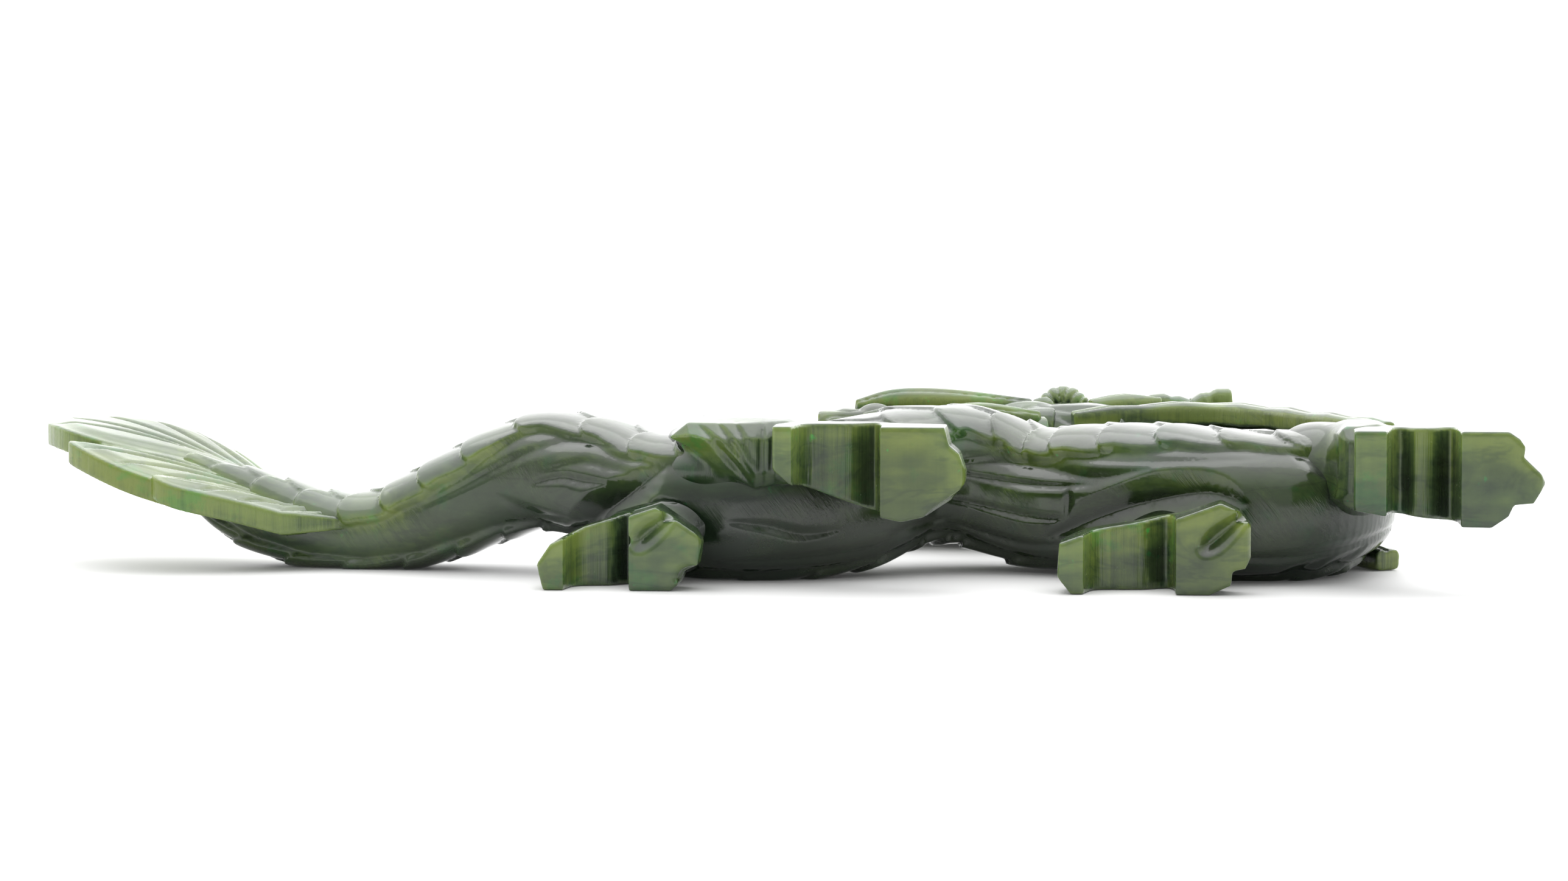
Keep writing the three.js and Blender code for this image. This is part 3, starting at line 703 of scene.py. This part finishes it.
SWELLINGS = [  # nostril, bridge, lip and cheek: centre, half sizes and fillet
    ((3.6, 97, MID + 8.6), (3.6, 3.2, 1.9), 0.8),
    ((14, 98.6, MID + 7.5), (8, 2.6, 3), 1.2),
    ((8.7, 95, MID + 9), (3.6, 3, 2.5), 0.3),
    ((36.5, 96, MID + 8.6), (7.5, 4, 3.4), 0.6),
]


def flank_strokes(strokes, p, inner=3.5):
    """Strokes cut into both flanks of the head, and not into the edge between them."""
    return engraved(strokes, p[:, 0], p[:, 1]) * smooth(np.abs(p[:, 2] - MID), inner, inner + 2.5)


def crown_strokes(p):
    """Strokes cut into the top of the head, on both sides of its middle."""
    return engraved(CROWN_STROKES, p[:, 0], np.abs(p[:, 2] - MID)) * smooth(p[:, 1], 97.5, 99.5)


def skull_field():
    dome = tube([(61, 92.5, MID, 5.8, 8.8), (56, 94, MID, 7.2, 10.2), (50, 95.5, MID, 9.6, 11.8),
                 (43, 95.8, MID, 9, 11.9), (38, 95.6, MID, 8.2, 11.2)], 2.6)

    def field(p):
        return dome(p) + 0.3 + flank_strokes(HEAD_STROKES, p) + crown_strokes(p)

    return field


def muzzle_field():
    snout = tube([(42, 95, MID, 7.5, 11.4), (30, 95.5, MID, 6.6, 10.9), (18, 95, MID, 5.4, 10.2),
                  (8, 95.5, MID, 5.6, 10.4), (-1.8, 96, MID, 4.6, 10.3)], 4.5, True)
    teeth = []
    for x, wide, long in TEETH:
        for side in (-TOOTH_OUT, TOOTH_OUT):
            rows = [(x, 92.5, MID + side, wide, 1.4),
                    (x + 0.2, 92 - long * 0.5, MID + side, wide * 0.75, 1.1),
                    (x + 0.8, 91.6 - long, MID + side, 0.3, 0.4)]
            teeth.append(tube(rows, 2, step=0.5))

    def field(p):
        solid = snout(p) + 0.2 + flank_strokes(HEAD_STROKES, p) + crown_strokes(p)
        mirrored = p.copy()
        mirrored[:, 2] = MID + np.abs(p[:, 2] - MID)
        for centre, half, fillet in SWELLINGS:
            solid = join(solid, blob(centre, half)(mirrored), fillet)
        for tooth in teeth:
            solid = join(solid, tooth(p), 0.3)
        return solid

    return field


def jaw_field():
    bone = tube([(40, 86, MID, 4.6, 9.8), (28, 83.5, MID, 3.4, 9), (16, 82.5, MID, 2.8, 7.8),
                 (6, 84.5, MID, 2, 5.6)], 2.6)
    strokes = [(1.2, 0.8, [(8, 85), (18, 83.8), (28, 84.6), (38, 87)]),
               (1.2, 0.7, [(24, 82), (30, 82.5), (36, 84.4)])]

    def field(p):
        return bone(p) + flank_strokes(strokes, p, 2)

    return field


carve("head_skull", skull_field(), (30, 82, 1), (68, 107, 27.6), LIMB_VOXEL, ["head_skull"], "jade_middle")
carve("muzzle", muzzle_field(), (-4, 84, 1), (43, 105, 27), LIMB_VOXEL, ["muzzle"], "jade_middle")
carve("lower_jaw", jaw_field(), (2, 78, 2), (46, 93, 26), LIMB_VOXEL, ["lower_jaw"], "jade_middle")


LOCK_SHAPE = 2.2  # power of the superellipse that a lock or a curl has in section


def strands(rows, count, depth=0.5):
    """A lock of hair or a curl: a tube with grooves along it, count of them across each flank."""
    path = Path(rows, 0.5)

    def field(p):
        s, u, v, a, b, past = path.coordinates(p)
        side = section(u, v, a, b, LOCK_SHAPE)
        wave = np.abs(np.mod(u / a * count / 2 + 0.5 * (count + 1) % 1, 1) - 0.5) * 2
        groove = np.clip((wave - 0.62) / 0.38, 0, 1) * smooth(np.abs(v) / b, 0.15, 0.6)
        return ended(side + depth * groove * smooth(a, 0.5, 1.6), past, False)

    return field


def ringed(rows, pitch, depth, power=LOCK_SHAPE, flat_end=False):
    """A horn or a curl with rings cut around it."""
    path = Path(rows, 0.5)

    def field(p):
        s, u, v, a, b, past = path.coordinates(p)
        ring = np.clip(1 - np.abs(np.mod(s / pitch, 1) - 0.5) * 4, 0, 1)
        return ended(section(u, v, a, b, power) + depth * ring, past, flat_end)

    return field


def around(rows):
    """The box that holds a path's tube."""
    rows = np.array(rows, float)
    reach = rows[:, 3:5].max(axis=1, keepdims=True) + 0.6
    low, high = (rows[:, :3] - reach).min(axis=0), (rows[:, :3] + reach).max(axis=0)
    return (low[0], low[1], max(low[2], 0)), (high[0], high[1], min(high[2], SLAB))


def lower_flank(rows):
    """The same rows on the other flank."""
    return [(x, y, SLAB - z, a, b) for x, y, z, a, b in rows]


TONGUE = [(32, 88.2, MID, 1.3, 4), (20, 87.2, MID, 1.2, 3.8), (10, 88.6, MID, 0.8, 2.6)]
BEARD = [(24, 81.5, MID, 2.6, 4.4), (30, 76.5, MID, 2.4, 3.6), (38, 73.5, MID, 1.4, 2)]
carve("tongue", strands(TONGUE, 1), *around(TONGUE), FINE_VOXEL, ["tongue"], "jade_thin")
carve("beard", strands(BEARD, 4), *around(BEARD), FINE_VOXEL, ["beard"], "jade_thin")

# What both flanks carry: how it is cut, the number of strands or the pitch of the rings, and its rows.
FLANKS = {
    "moustache": (strands, 2, [(5, 99, 24.6, 1.4, 1.6), (12, 100.5, 25.4, 2.8, 2.7),
                               (22, 99.5, 25.5, 2.9, 2.7), (37, 97, 25, 1.1, 1.6)]),
    "lip_curl": (strands, 1, [(7, 91, 22.9, 1.2, 1.6), (13, 90, 23.4, 2.2, 2.4), (21, 91, 23.2, 1, 1.6)]),
    "cheek_lock": (strands, 3, [(19, 87.5, 23.6, 1.2, 1.6), (28, 85.5, 24, 2.7, 2.6),
                                (39, 84.5, 23.6, 1.2, 1.6)]),
    "brow": (ringed, 1.5, [(38.5, 104, 24.4, 1.6, 2), (42.5, 105.2, 25.6, 3, 3.1),
                           (46.5, 103.6, 24.6, 1.6, 2)]),
    "ear": (strands, 1, [(48, 101, 24.3, 2, 2.2), (54, 103, 25.2, 2.6, 2.2), (60.5, 105, 25.2, 0.8, 1.4)]),
    "horn": (ringed, 4.2, [(44, 106, 22.2, 2.8, 3.2), (53, 109.5, 22.8, 2.8, 3), (61, 110.2, 24.1, 2.8, 2.9),
                           (66, 111, 23.2, 2.5, 2.7), (69.5, 111.8, 24.9, 2.4, 2.7),
                           (73.4, 112.4, 25.2, 2.4, 2.7)]),
}
for name, (shape, number, rows) in FLANKS.items():
    for flank, turned in (("upper", rows), ("lower", lower_flank(rows))):
        extra = (0.5, 3.0, True) if name == "horn" else (0.5,)
        field = shape(turned, number, *extra)
        carve(f"{name}_{flank}", field, *around(turned), FINE_VOXEL, [f"{name}_{flank}"], "jade_thin")

EYE = (39, 100.3, 24.4)


def eye_field(z):
    """An eyeball with a drilled pupil."""
    ball = blob((EYE[0], EYE[1], z), (2.5, 2.1, 2.5))
    pupil = blob((EYE[0] - 0.5, EYE[1] + 0.1, MID + (z - MID) * 1.26), (0.8, 0.8, 0.9))

    def field(p):
        return cut(ball(p), pupil(p), 0.2)

    return field


for flank, z in (("upper", EYE[2]), ("lower", SLAB - EYE[2])):
    low, high = (EYE[0] - 3.5, EYE[1] - 3, z - 3), (EYE[0] + 3.5, EYE[1] + 3, z + 3)
    carve(f"eye_{flank}", eye_field(z), low, high, FINE_VOXEL, [f"eye_{flank}"], "jade_thin")

# Nape strips: faceted bands that end in a flat cut.
STRIP = [(45, 86.5, 23.2, 2, 2.2), (56, 89.5, 23.8, 2.8, 2.5), (66, 89, 24.3, 3.3, 2.5),
         (74, 85, 24.5, 3.4, 2.4), (81.5, 77.5, 24.5, 3.4, 2.3), (88, 68, 24.4, 3.2, 2.2),
         (95.5, 56, 24.3, 3, 2.2), (100.2, 48, 24.1, 2.6, 2.1)]
STRIP_FALL = 22.2  # from the upper strip down to the lower one
STRIP_SHIFT = 0.8  # of the lower strip, along X
LOWER_STRIP = [(x + STRIP_SHIFT, y, z - STRIP_FALL, a, b) for x, y, z, a, b in STRIP]


def strip_field(rows):
    """A squarish band with long facets and a groove along its upper face."""
    path = Path(rows, 0.5)

    def field(p):
        s, u, v, a, b, past = path.coordinates(p)
        facet = 0.45 * np.abs(np.mod(s / 13 + 0.06 * u, 1) - 0.5) * 2
        side = section(u, v, a, b, 4) + facet
        groove = 0.5 * np.clip(1 - np.abs(u + 0.2 * a) / 0.7, 0, 1) * smooth(v / b, 0.3, 0.8)
        return both(side + groove, past, 0.3)

    return field


for name, rows in (("nape_strip_upper", STRIP), ("nape_strip_lower", LOWER_STRIP)):
    carve(name, strip_field(rows), *around(rows), FINE_VOXEL, [name], "jade_thin")

MANE = [((54, 98), (63, 104), (72, 107)), ((64, 92), (75, 97.5), (84, 99)), ((74, 84), (85, 88), (94, 88)),
        ((81, 73), (92, 76.5), (100.5, 76)), ((86, 61), (96, 64), (104, 64))]
for number, line in enumerate(MANE, 1):
    rows = [(*at, MID, wide, thick) for at, wide, thick in zip(line, (4.2, 3.6, 0.7), (7.5, 6.6, 2.6))]
    name = f"mane_lock_{number}"
    carve(name, strands(rows, 4, 0.7), *around(rows), FINE_VOXEL, [name], "jade_thin")

# Stage --------------------
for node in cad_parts.values():
    node.data.materials.clear()

FRONT_LIGHT = (0.6, 0.6, 0.61)
BACK_LIGHT = (2.7, 2.7, 2.7)
FLOOR = (0.58, 0.58, 0.58)
FLOOR_GLOW = 0.03
BRIGHT_WAY = (0, 0.5, 0.866)  # towards the brightest part of the surroundings
BRIGHTENING = (0.45, 0.93)  # where the brightening starts and ends, from 0 opposite that way to 1 along it
LAMP_PLACE = (0, 0.2, 0.9)
LAMP_SIZE = (1.4, 1.0)
LAMP_POWER = 6


def add_floor():
    """A plain pale table."""
    bpy.ops.mesh.primitive_plane_add(size=60, location=(0, 0, table_top * MM))
    floor = bpy.context.object
    floor.name = "floor"
    material = bpy.data.materials.new("table")
    material.use_nodes = True
    shader = material.node_tree.nodes["Principled BSDF"]
    shader.inputs["Base Color"].default_value = (*FLOOR, 1)
    shader.inputs["Roughness"].default_value = 0.6
    shader.inputs["Emission Color"].default_value = (1, 1, 1, 1)
    shader.inputs["Emission Strength"].default_value = FLOOR_GLOW
    floor.data.materials.append(material)


AZIMUTH = math.radians(4.9)
PITCH = math.radians(3.8838)
DISTANCE = 0.9081  # in metres, from the camera to the point that it looks at
AIM_HEIGHT = 25.3  # of that point, in millimetres over the table
LENS = 125.8
SENSOR = 36


def add_camera():
    """A long lens, level with the carving, that looks at its soles."""
    aim = Vector((DRAWING[0] * MM, soles * MM, (table_top + AIM_HEIGHT) * MM))
    level = math.cos(PITCH)
    ahead = Vector((-math.sin(AZIMUTH) * level, math.cos(AZIMUTH) * level, -math.sin(PITCH)))
    data = bpy.data.cameras.new("camera")
    data.lens = LENS
    data.sensor_width = SENSOR
    data.clip_start = 0.01
    camera = bpy.data.objects.new("camera", data)
    camera.location = aim - ahead * DISTANCE
    camera.rotation_euler = ahead.to_track_quat("-Z", "Y").to_euler()
    bpy.context.collection.objects.link(camera)
    bpy.context.scene.camera = camera


def add_lamp():
    """A broad lamp overhead that looks at the middle of the carving's base."""
    data = bpy.data.lights.new("overhead", "AREA")
    data.shape = "RECTANGLE"
    data.size, data.size_y = LAMP_SIZE
    data.energy = LAMP_POWER
    lamp = bpy.data.objects.new("overhead", data)
    lamp.location = LAMP_PLACE
    lamp.rotation_euler = (-Vector(LAMP_PLACE)).to_track_quat("-Z", "Y").to_euler()
    bpy.context.collection.objects.link(lamp)


def add_world():
    """Soft light: bright above and behind the carving, dimmer in front of it."""
    world = bpy.data.worlds.new("studio")
    bpy.context.scene.world = world
    world.use_nodes = True
    tree = world.node_tree
    background = tree.nodes["Background"]
    where = tree.nodes.new("ShaderNodeTexCoord")
    height = tree.nodes.new("ShaderNodeVectorMath")
    height.operation = "DOT_PRODUCT"
    height.inputs[1].default_value = BRIGHT_WAY
    ramp = tree.nodes.new("ShaderNodeValToRGB")
    scale = tree.nodes.new("ShaderNodeMapRange")
    tree.links.new(where.outputs["Generated"], height.inputs[0])
    tree.links.new(height.outputs["Value"], scale.inputs["Value"])
    scale.inputs["From Min"].default_value = -1
    scale.inputs["From Max"].default_value = 1
    tree.links.new(scale.outputs["Result"], ramp.inputs["Fac"])
    for element, colour, position in zip(ramp.color_ramp.elements, (FRONT_LIGHT, BACK_LIGHT), BRIGHTENING):
        element.color = (*colour, 1)
        element.position = position
    tree.links.new(ramp.outputs["Color"], background.inputs["Color"])
    background.inputs["Strength"].default_value = 1.0


# Stone --------------------
DEPTH_PITCH = 1.0  # of the grid that measures how thick the stone is
DEPTHS = (1.2, 2.2, 3.5, 5, 7, 9, 11.5)  # how far under the surface the thickness is looked for
REACHES = (1.5, 3, 5, 7.5, 10.5)  # how far over the surface other stone is looked for
OVERHEAD = (2.5, 5, 8, 12, 17)  # how far straight over a surface point stone is looked for
FULL_DEPTH = 12.0  # half thickness that counts as 1


class Stone:
    """The whole carving on one coarse grid: how far inside the stone each point lies."""

    def __init__(self):
        self.low = np.min([low for _, low, _ in everything], axis=0) - DEPTH_PITCH
        high = np.max([high for _, _, high in everything], axis=0) + DEPTH_PITCH
        self.shape = np.ceil((high - self.low) / DEPTH_PITCH).astype(int) + 1
        self.values = np.full(self.shape, 4.0, np.float32)
        for field, low, high in everything:
            first = np.maximum(np.floor((low - self.low) / DEPTH_PITCH).astype(int), 0)
            last = np.minimum(np.ceil((high - self.low) / DEPTH_PITCH).astype(int) + 1, self.shape)
            axes = [self.low[i] + np.arange(first[i], last[i]) * DEPTH_PITCH for i in range(3)]
            points = np.stack(np.meshgrid(*axes, indexing="ij"), -1)
            here = in_batches(field, points.reshape(-1, 3)).reshape(points.shape[:3])
            window = tuple(slice(a, b) for a, b in zip(first, last))
            self.values[window] = np.minimum(self.values[window], here)

    def inside(self, p):
        """How far inside the stone each point lies: negative outside it."""
        q = np.clip((p - self.low) / DEPTH_PITCH, 0, self.shape - 1.001)
        k = q.astype(int)
        f = q - k
        total = np.zeros(len(p))
        for corner in np.ndindex(2, 2, 2):
            weight = np.prod(np.where(corner, f, 1 - f), axis=1)
            total += weight * self.values[tuple((k + corner).T)]
        return -total

    def outward(self, p, normal):
        """The way out of the stone at its larger scale, so that scales and strokes don't turn it."""
        slope = np.stack([self.inside(p - e) - self.inside(p + e) for e in np.eye(3) * 2.5], 1)
        way = slope + 0.8 * normal
        return way / (np.linalg.norm(way, axis=1, keepdims=True) + 1e-9)

    def thickness(self, p, normal):
        """The largest half thickness met on the way in from each surface point, as a share of FULL_DEPTH."""
        deepest = np.zeros(len(p))
        for d in DEPTHS:
            deepest = np.maximum(deepest, self.inside(p - normal * d))
        return deepest / FULL_DEPTH

    def overhead_shade(self, p, normal):
        """How much stone lies straight over each surface point, from 0 for none to 1; it paints shade from
        the light overhead into the colour.
        """
        start = p - 1.5 * normal
        held = [np.clip(0.5 + self.inside(start + (0, 0, d)), 0, 1) for d in OVERHEAD]
        return np.mean(held, axis=0)

    def shade(self, p, normal):
        """How closed in each surface point is, from 0 in the open to 1 in a hollow; it paints shade into
        hollows, creases and between parts in the colour.
        """
        closed = [np.clip(0.5 + self.inside(p + normal * d), 0, 1) for d in REACHES]
        return np.mean(closed, axis=0)


def measure(piece, stone):
    """Writes how thick, covered and closed in the stone is at each of the piece's points; the last two are
    painted into the colour as shade.
    """
    mesh = piece.data
    count = len(mesh.vertices)
    places = np.empty(count * 3, np.float32)
    normals = np.empty(count * 3, np.float32)
    mesh.vertices.foreach_get("co", places)
    mesh.vertices.foreach_get("normal", normals)
    places = places.reshape(-1, 3) / MM - DRAWING
    normals = normals.reshape(-1, 3)
    outward = stone.outward(places, normals)
    layers = {
        "thickness": stone.thickness(places, outward),
        "overhead_shade": stone.overhead_shade(places, outward),
        "shade": stone.shade(places, normals),
    }
    for name, values in layers.items():
        layer = mesh.attributes.new(name, "FLOAT", "POINT")
        layer.data.foreach_set("value", values.astype(np.float32))


# How much stone the light has come through, with painted shade added, and the colour that the stone shows
# there.
TONES = [
    (0.08, (0.150, 0.208, 0.050)),
    (0.26, (0.102, 0.152, 0.040)),
    (0.44, (0.056, 0.092, 0.030)),
    (0.64, (0.027, 0.050, 0.021)),
    (0.84, (0.016, 0.029, 0.013)),
    (1.0, (0.010, 0.019, 0.010)),
]
THICKNESS_SHARE = 0.66  # what each measure adds to that
# painted shade: how much the colour darkens where stone lies overhead, as if shaded from the light above
OVERHEAD_SHADE_SHARE = 0.42
# painted shade: how much hollows, creases and gaps between parts are darkened
PAINTED_SHADE_SHARE = 0.62
TOP_FACE_SHADE_SHARE = 0.34  # painted shade: faces that look up are darkened, and upright ones left lighter, as if lit through the stone from above
OLIVE = (1.08, 1.0, 0.72)  # tints of the clouds in the stone
EMERALD = (0.66, 1.04, 0.9)
FLECK = (0.6, 1.9, 1.4)
SLANT = math.radians(38)  # of the saw marks on the body
REFRACTION = 1.61
SAW_MARK_DEPTH = 0.00007


class Nodes:
    """Short ways to build a material's node tree."""

    def __init__(self, material):
        material.use_nodes = True
        self.tree = material.node_tree
        self.shader = self.tree.nodes["Principled BSDF"]
        where = self.node("ShaderNodeTexCoord")
        millimetres = self.node("ShaderNodeVectorMath", operation="SCALE")
        self.link(where.outputs["Object"], millimetres.inputs[0])
        millimetres.inputs["Scale"].default_value = 1 / MM
        self.place = millimetres.outputs[0]

    def node(self, kind, **settings):
        made = self.tree.nodes.new(kind)
        for key, value in settings.items():
            setattr(made, key, value)
        return made

    def link(self, a, b):
        self.tree.links.new(a, b)

    def maths(self, operation, a, b=0):
        made = self.node("ShaderNodeMath", operation=operation)
        for socket, value in zip(made.inputs, (a, b)):
            if isinstance(value, (int, float)):
                socket.default_value = value
            else:
                self.link(value, socket)
        return made.outputs[0]

    def total(self, *values):
        result = values[0]
        for value in values[1:]:
            result = self.maths("ADD", result, value)
        return result

    def times(self, *values):
        result = values[0]
        for value in values[1:]:
            result = self.maths("MULTIPLY", result, value)
        return result

    def ramped(self, value, low, high, first=0.0, last=1.0):
        """A smooth change from first to last while value goes from low to high."""
        made = self.node("ShaderNodeMapRange", interpolation_type="SMOOTHSTEP")
        self.link(value, made.inputs["Value"])
        for socket, number in (("From Min", low), ("From Max", high), ("To Min", first), ("To Max", last)):
            made.inputs[socket].default_value = number
        return made.outputs["Result"]

    def noise(self, scale, detail=2.0, stretch=(1, 1, 1), rough=0.5, distortion=0.0, slant=0.0):
        """Noise around 0, in features of about 1 / scale millimetres; slant turns it about Y."""
        turned = self.node("ShaderNodeVectorRotate", rotation_type="Y_AXIS")
        turned.inputs["Angle"].default_value = slant
        self.link(self.place, turned.inputs["Vector"])
        mapping = self.node("ShaderNodeMapping")
        mapping.inputs["Scale"].default_value = stretch
        self.link(turned.outputs[0], mapping.inputs["Vector"])
        made = self.node("ShaderNodeTexNoise")
        made.inputs["Scale"].default_value = scale
        made.inputs["Detail"].default_value = detail
        made.inputs["Roughness"].default_value = rough
        made.inputs["Distortion"].default_value = distortion
        self.link(mapping.outputs[0], made.inputs["Vector"])
        return self.maths("SUBTRACT", made.outputs["Fac"], 0.5)

    def attribute(self, name):
        return self.node("ShaderNodeAttribute", attribute_name=name).outputs["Fac"]

    def tint(self, colour, shade, amount):
        """The colour, multiplied by a shade where amount is 1."""
        mix = self.node("ShaderNodeMix", data_type="RGBA", blend_type="MULTIPLY")
        self.link(amount, mix.inputs["Factor"])
        self.link(colour, mix.inputs["A"])
        mix.inputs["B"].default_value = (*shade, 1)
        return mix.outputs["Result"]


def jade(name, streaks, paleness=0.0, slant=0.0, reach=200.0):
    """Polished nephrite: darker where it is thicker, darker still with painted shade in hollows, under
    overhanging stone and on faces that look up, clouded, with fine saw marks of the given strength.

    The marks end at reach, in millimetres from the soles.
    """
    material = bpy.data.materials.new(name)
    n = Nodes(material)
    geometry = n.node("ShaderNodeNewGeometry")
    facing = n.node("ShaderNodeSeparateXYZ")
    n.link(geometry.outputs["Normal"], facing.inputs[0])
    upright = n.ramped(n.maths("ABSOLUTE", facing.outputs["Z"]), 0.2, 0.5, 1, 0)
    spot = n.node("ShaderNodeSeparateXYZ")
    n.link(n.place, spot.inputs[0])
    off_sole = n.ramped(spot.outputs["Y"], soles + 0.8, soles + 2.5, 0.12, 1)
    near_soles = n.ramped(spot.outputs["Y"], soles + reach, soles + reach + 4, 1, 0)
    sawn = n.times(upright, off_sole, near_soles, streaks)
    if slant:
        sawn = n.times(sawn, n.ramped(n.noise(0.07, 2), -0.04, 0.1))
    lines = n.noise(0.9, 4, (1, 1, 0.025), 0.75, slant=slant)

    vein = n.ramped(n.maths("ABSOLUTE", n.noise(0.06, 4, (0.6, 1, 1.7), 0.6, 0.8)), 0, 0.05, 1, 0)
    depth = n.total(
        n.times(n.attribute("thickness"), THICKNESS_SHARE),
        # painted shade: the next three terms darken stone under overhanging stone, hollows and faces that
        # look up
        n.times(n.attribute("overhead_shade"), OVERHEAD_SHADE_SHARE),
        n.times(n.attribute("shade"), PAINTED_SHADE_SHARE),
        n.ramped(facing.outputs["Z"], 0.3, 0.8, 0, TOP_FACE_SHADE_SHARE),
        -paleness,
        n.times(n.noise(0.05, 3, (1, 1, 1.6)), 0.55),
        n.times(n.noise(0.3, 4, (0.5, 1, 1.4), 0.6), 0.3),
        n.times(vein, 0.09),
        n.times(lines, sawn, 0.75),
    )
    tones = n.node("ShaderNodeValToRGB")
    ramp = tones.color_ramp
    ramp.elements[0].position, ramp.elements[0].color = TONES[0][0], (*TONES[0][1], 1)
    ramp.elements[1].position, ramp.elements[1].color = TONES[-1][0], (*TONES[-1][1], 1)
    for at, colour in TONES[1:-1]:
        ramp.elements.new(at).color = (*colour, 1)
    n.link(depth, tones.inputs["Fac"])
    colour = n.tint(tones.outputs["Color"], OLIVE, n.ramped(n.noise(0.035, 2), -0.12, 0.12))
    colour = n.tint(colour, EMERALD, n.ramped(n.noise(0.11, 5, (1, 1, 1), 0.65), 0.04, 0.16))
    colour = n.tint(colour, FLECK, n.ramped(n.noise(0.28, 4, (1, 1, 1), 0.6), 0.17, 0.24))
    n.link(colour, n.shader.inputs["Base Color"])

    bump = n.node("ShaderNodeBump")
    bump.inputs["Strength"].default_value = 1.0
    bump.inputs["Distance"].default_value = SAW_MARK_DEPTH
    n.link(n.total(n.times(lines, sawn, 2.4), n.times(n.noise(0.25), 0.9)), bump.inputs["Height"])
    n.link(bump.outputs["Normal"], n.shader.inputs["Normal"])

    gloss = n.total(0.13, n.times(n.noise(0.5, 3), 0.12), n.times(sawn, 0.12))
    n.link(gloss, n.shader.inputs["Roughness"])
    n.shader.inputs["IOR"].default_value = REFRACTION
    n.shader.inputs["Subsurface Weight"].default_value = 0.2
    n.shader.inputs["Subsurface Radius"].default_value = (0.7, 1.0, 0.4)
    n.shader.inputs["Subsurface Scale"].default_value = 0.002
    return material


polished = jade("jade_polished", 0.8, 0.05, slant=SLANT)
sawn_stone = jade("jade_sawn", 1.0, 0.05)
leg_stone = jade("jade_leg", 1.0, -0.07, reach=13)
whole_stone = Stone()
for piece in carved:
    measure(piece, whole_stone)
    if "leg" in piece.name:
        piece.data.materials.append(leg_stone)
    elif piece["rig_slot"] == "jade_thin":
        piece.data.materials.append(sawn_stone)
    else:
        piece.data.materials.append(polished)

add_floor()
add_camera()
add_world()
add_lamp()

bpy.context.scene.view_settings.view_transform = "Standard"
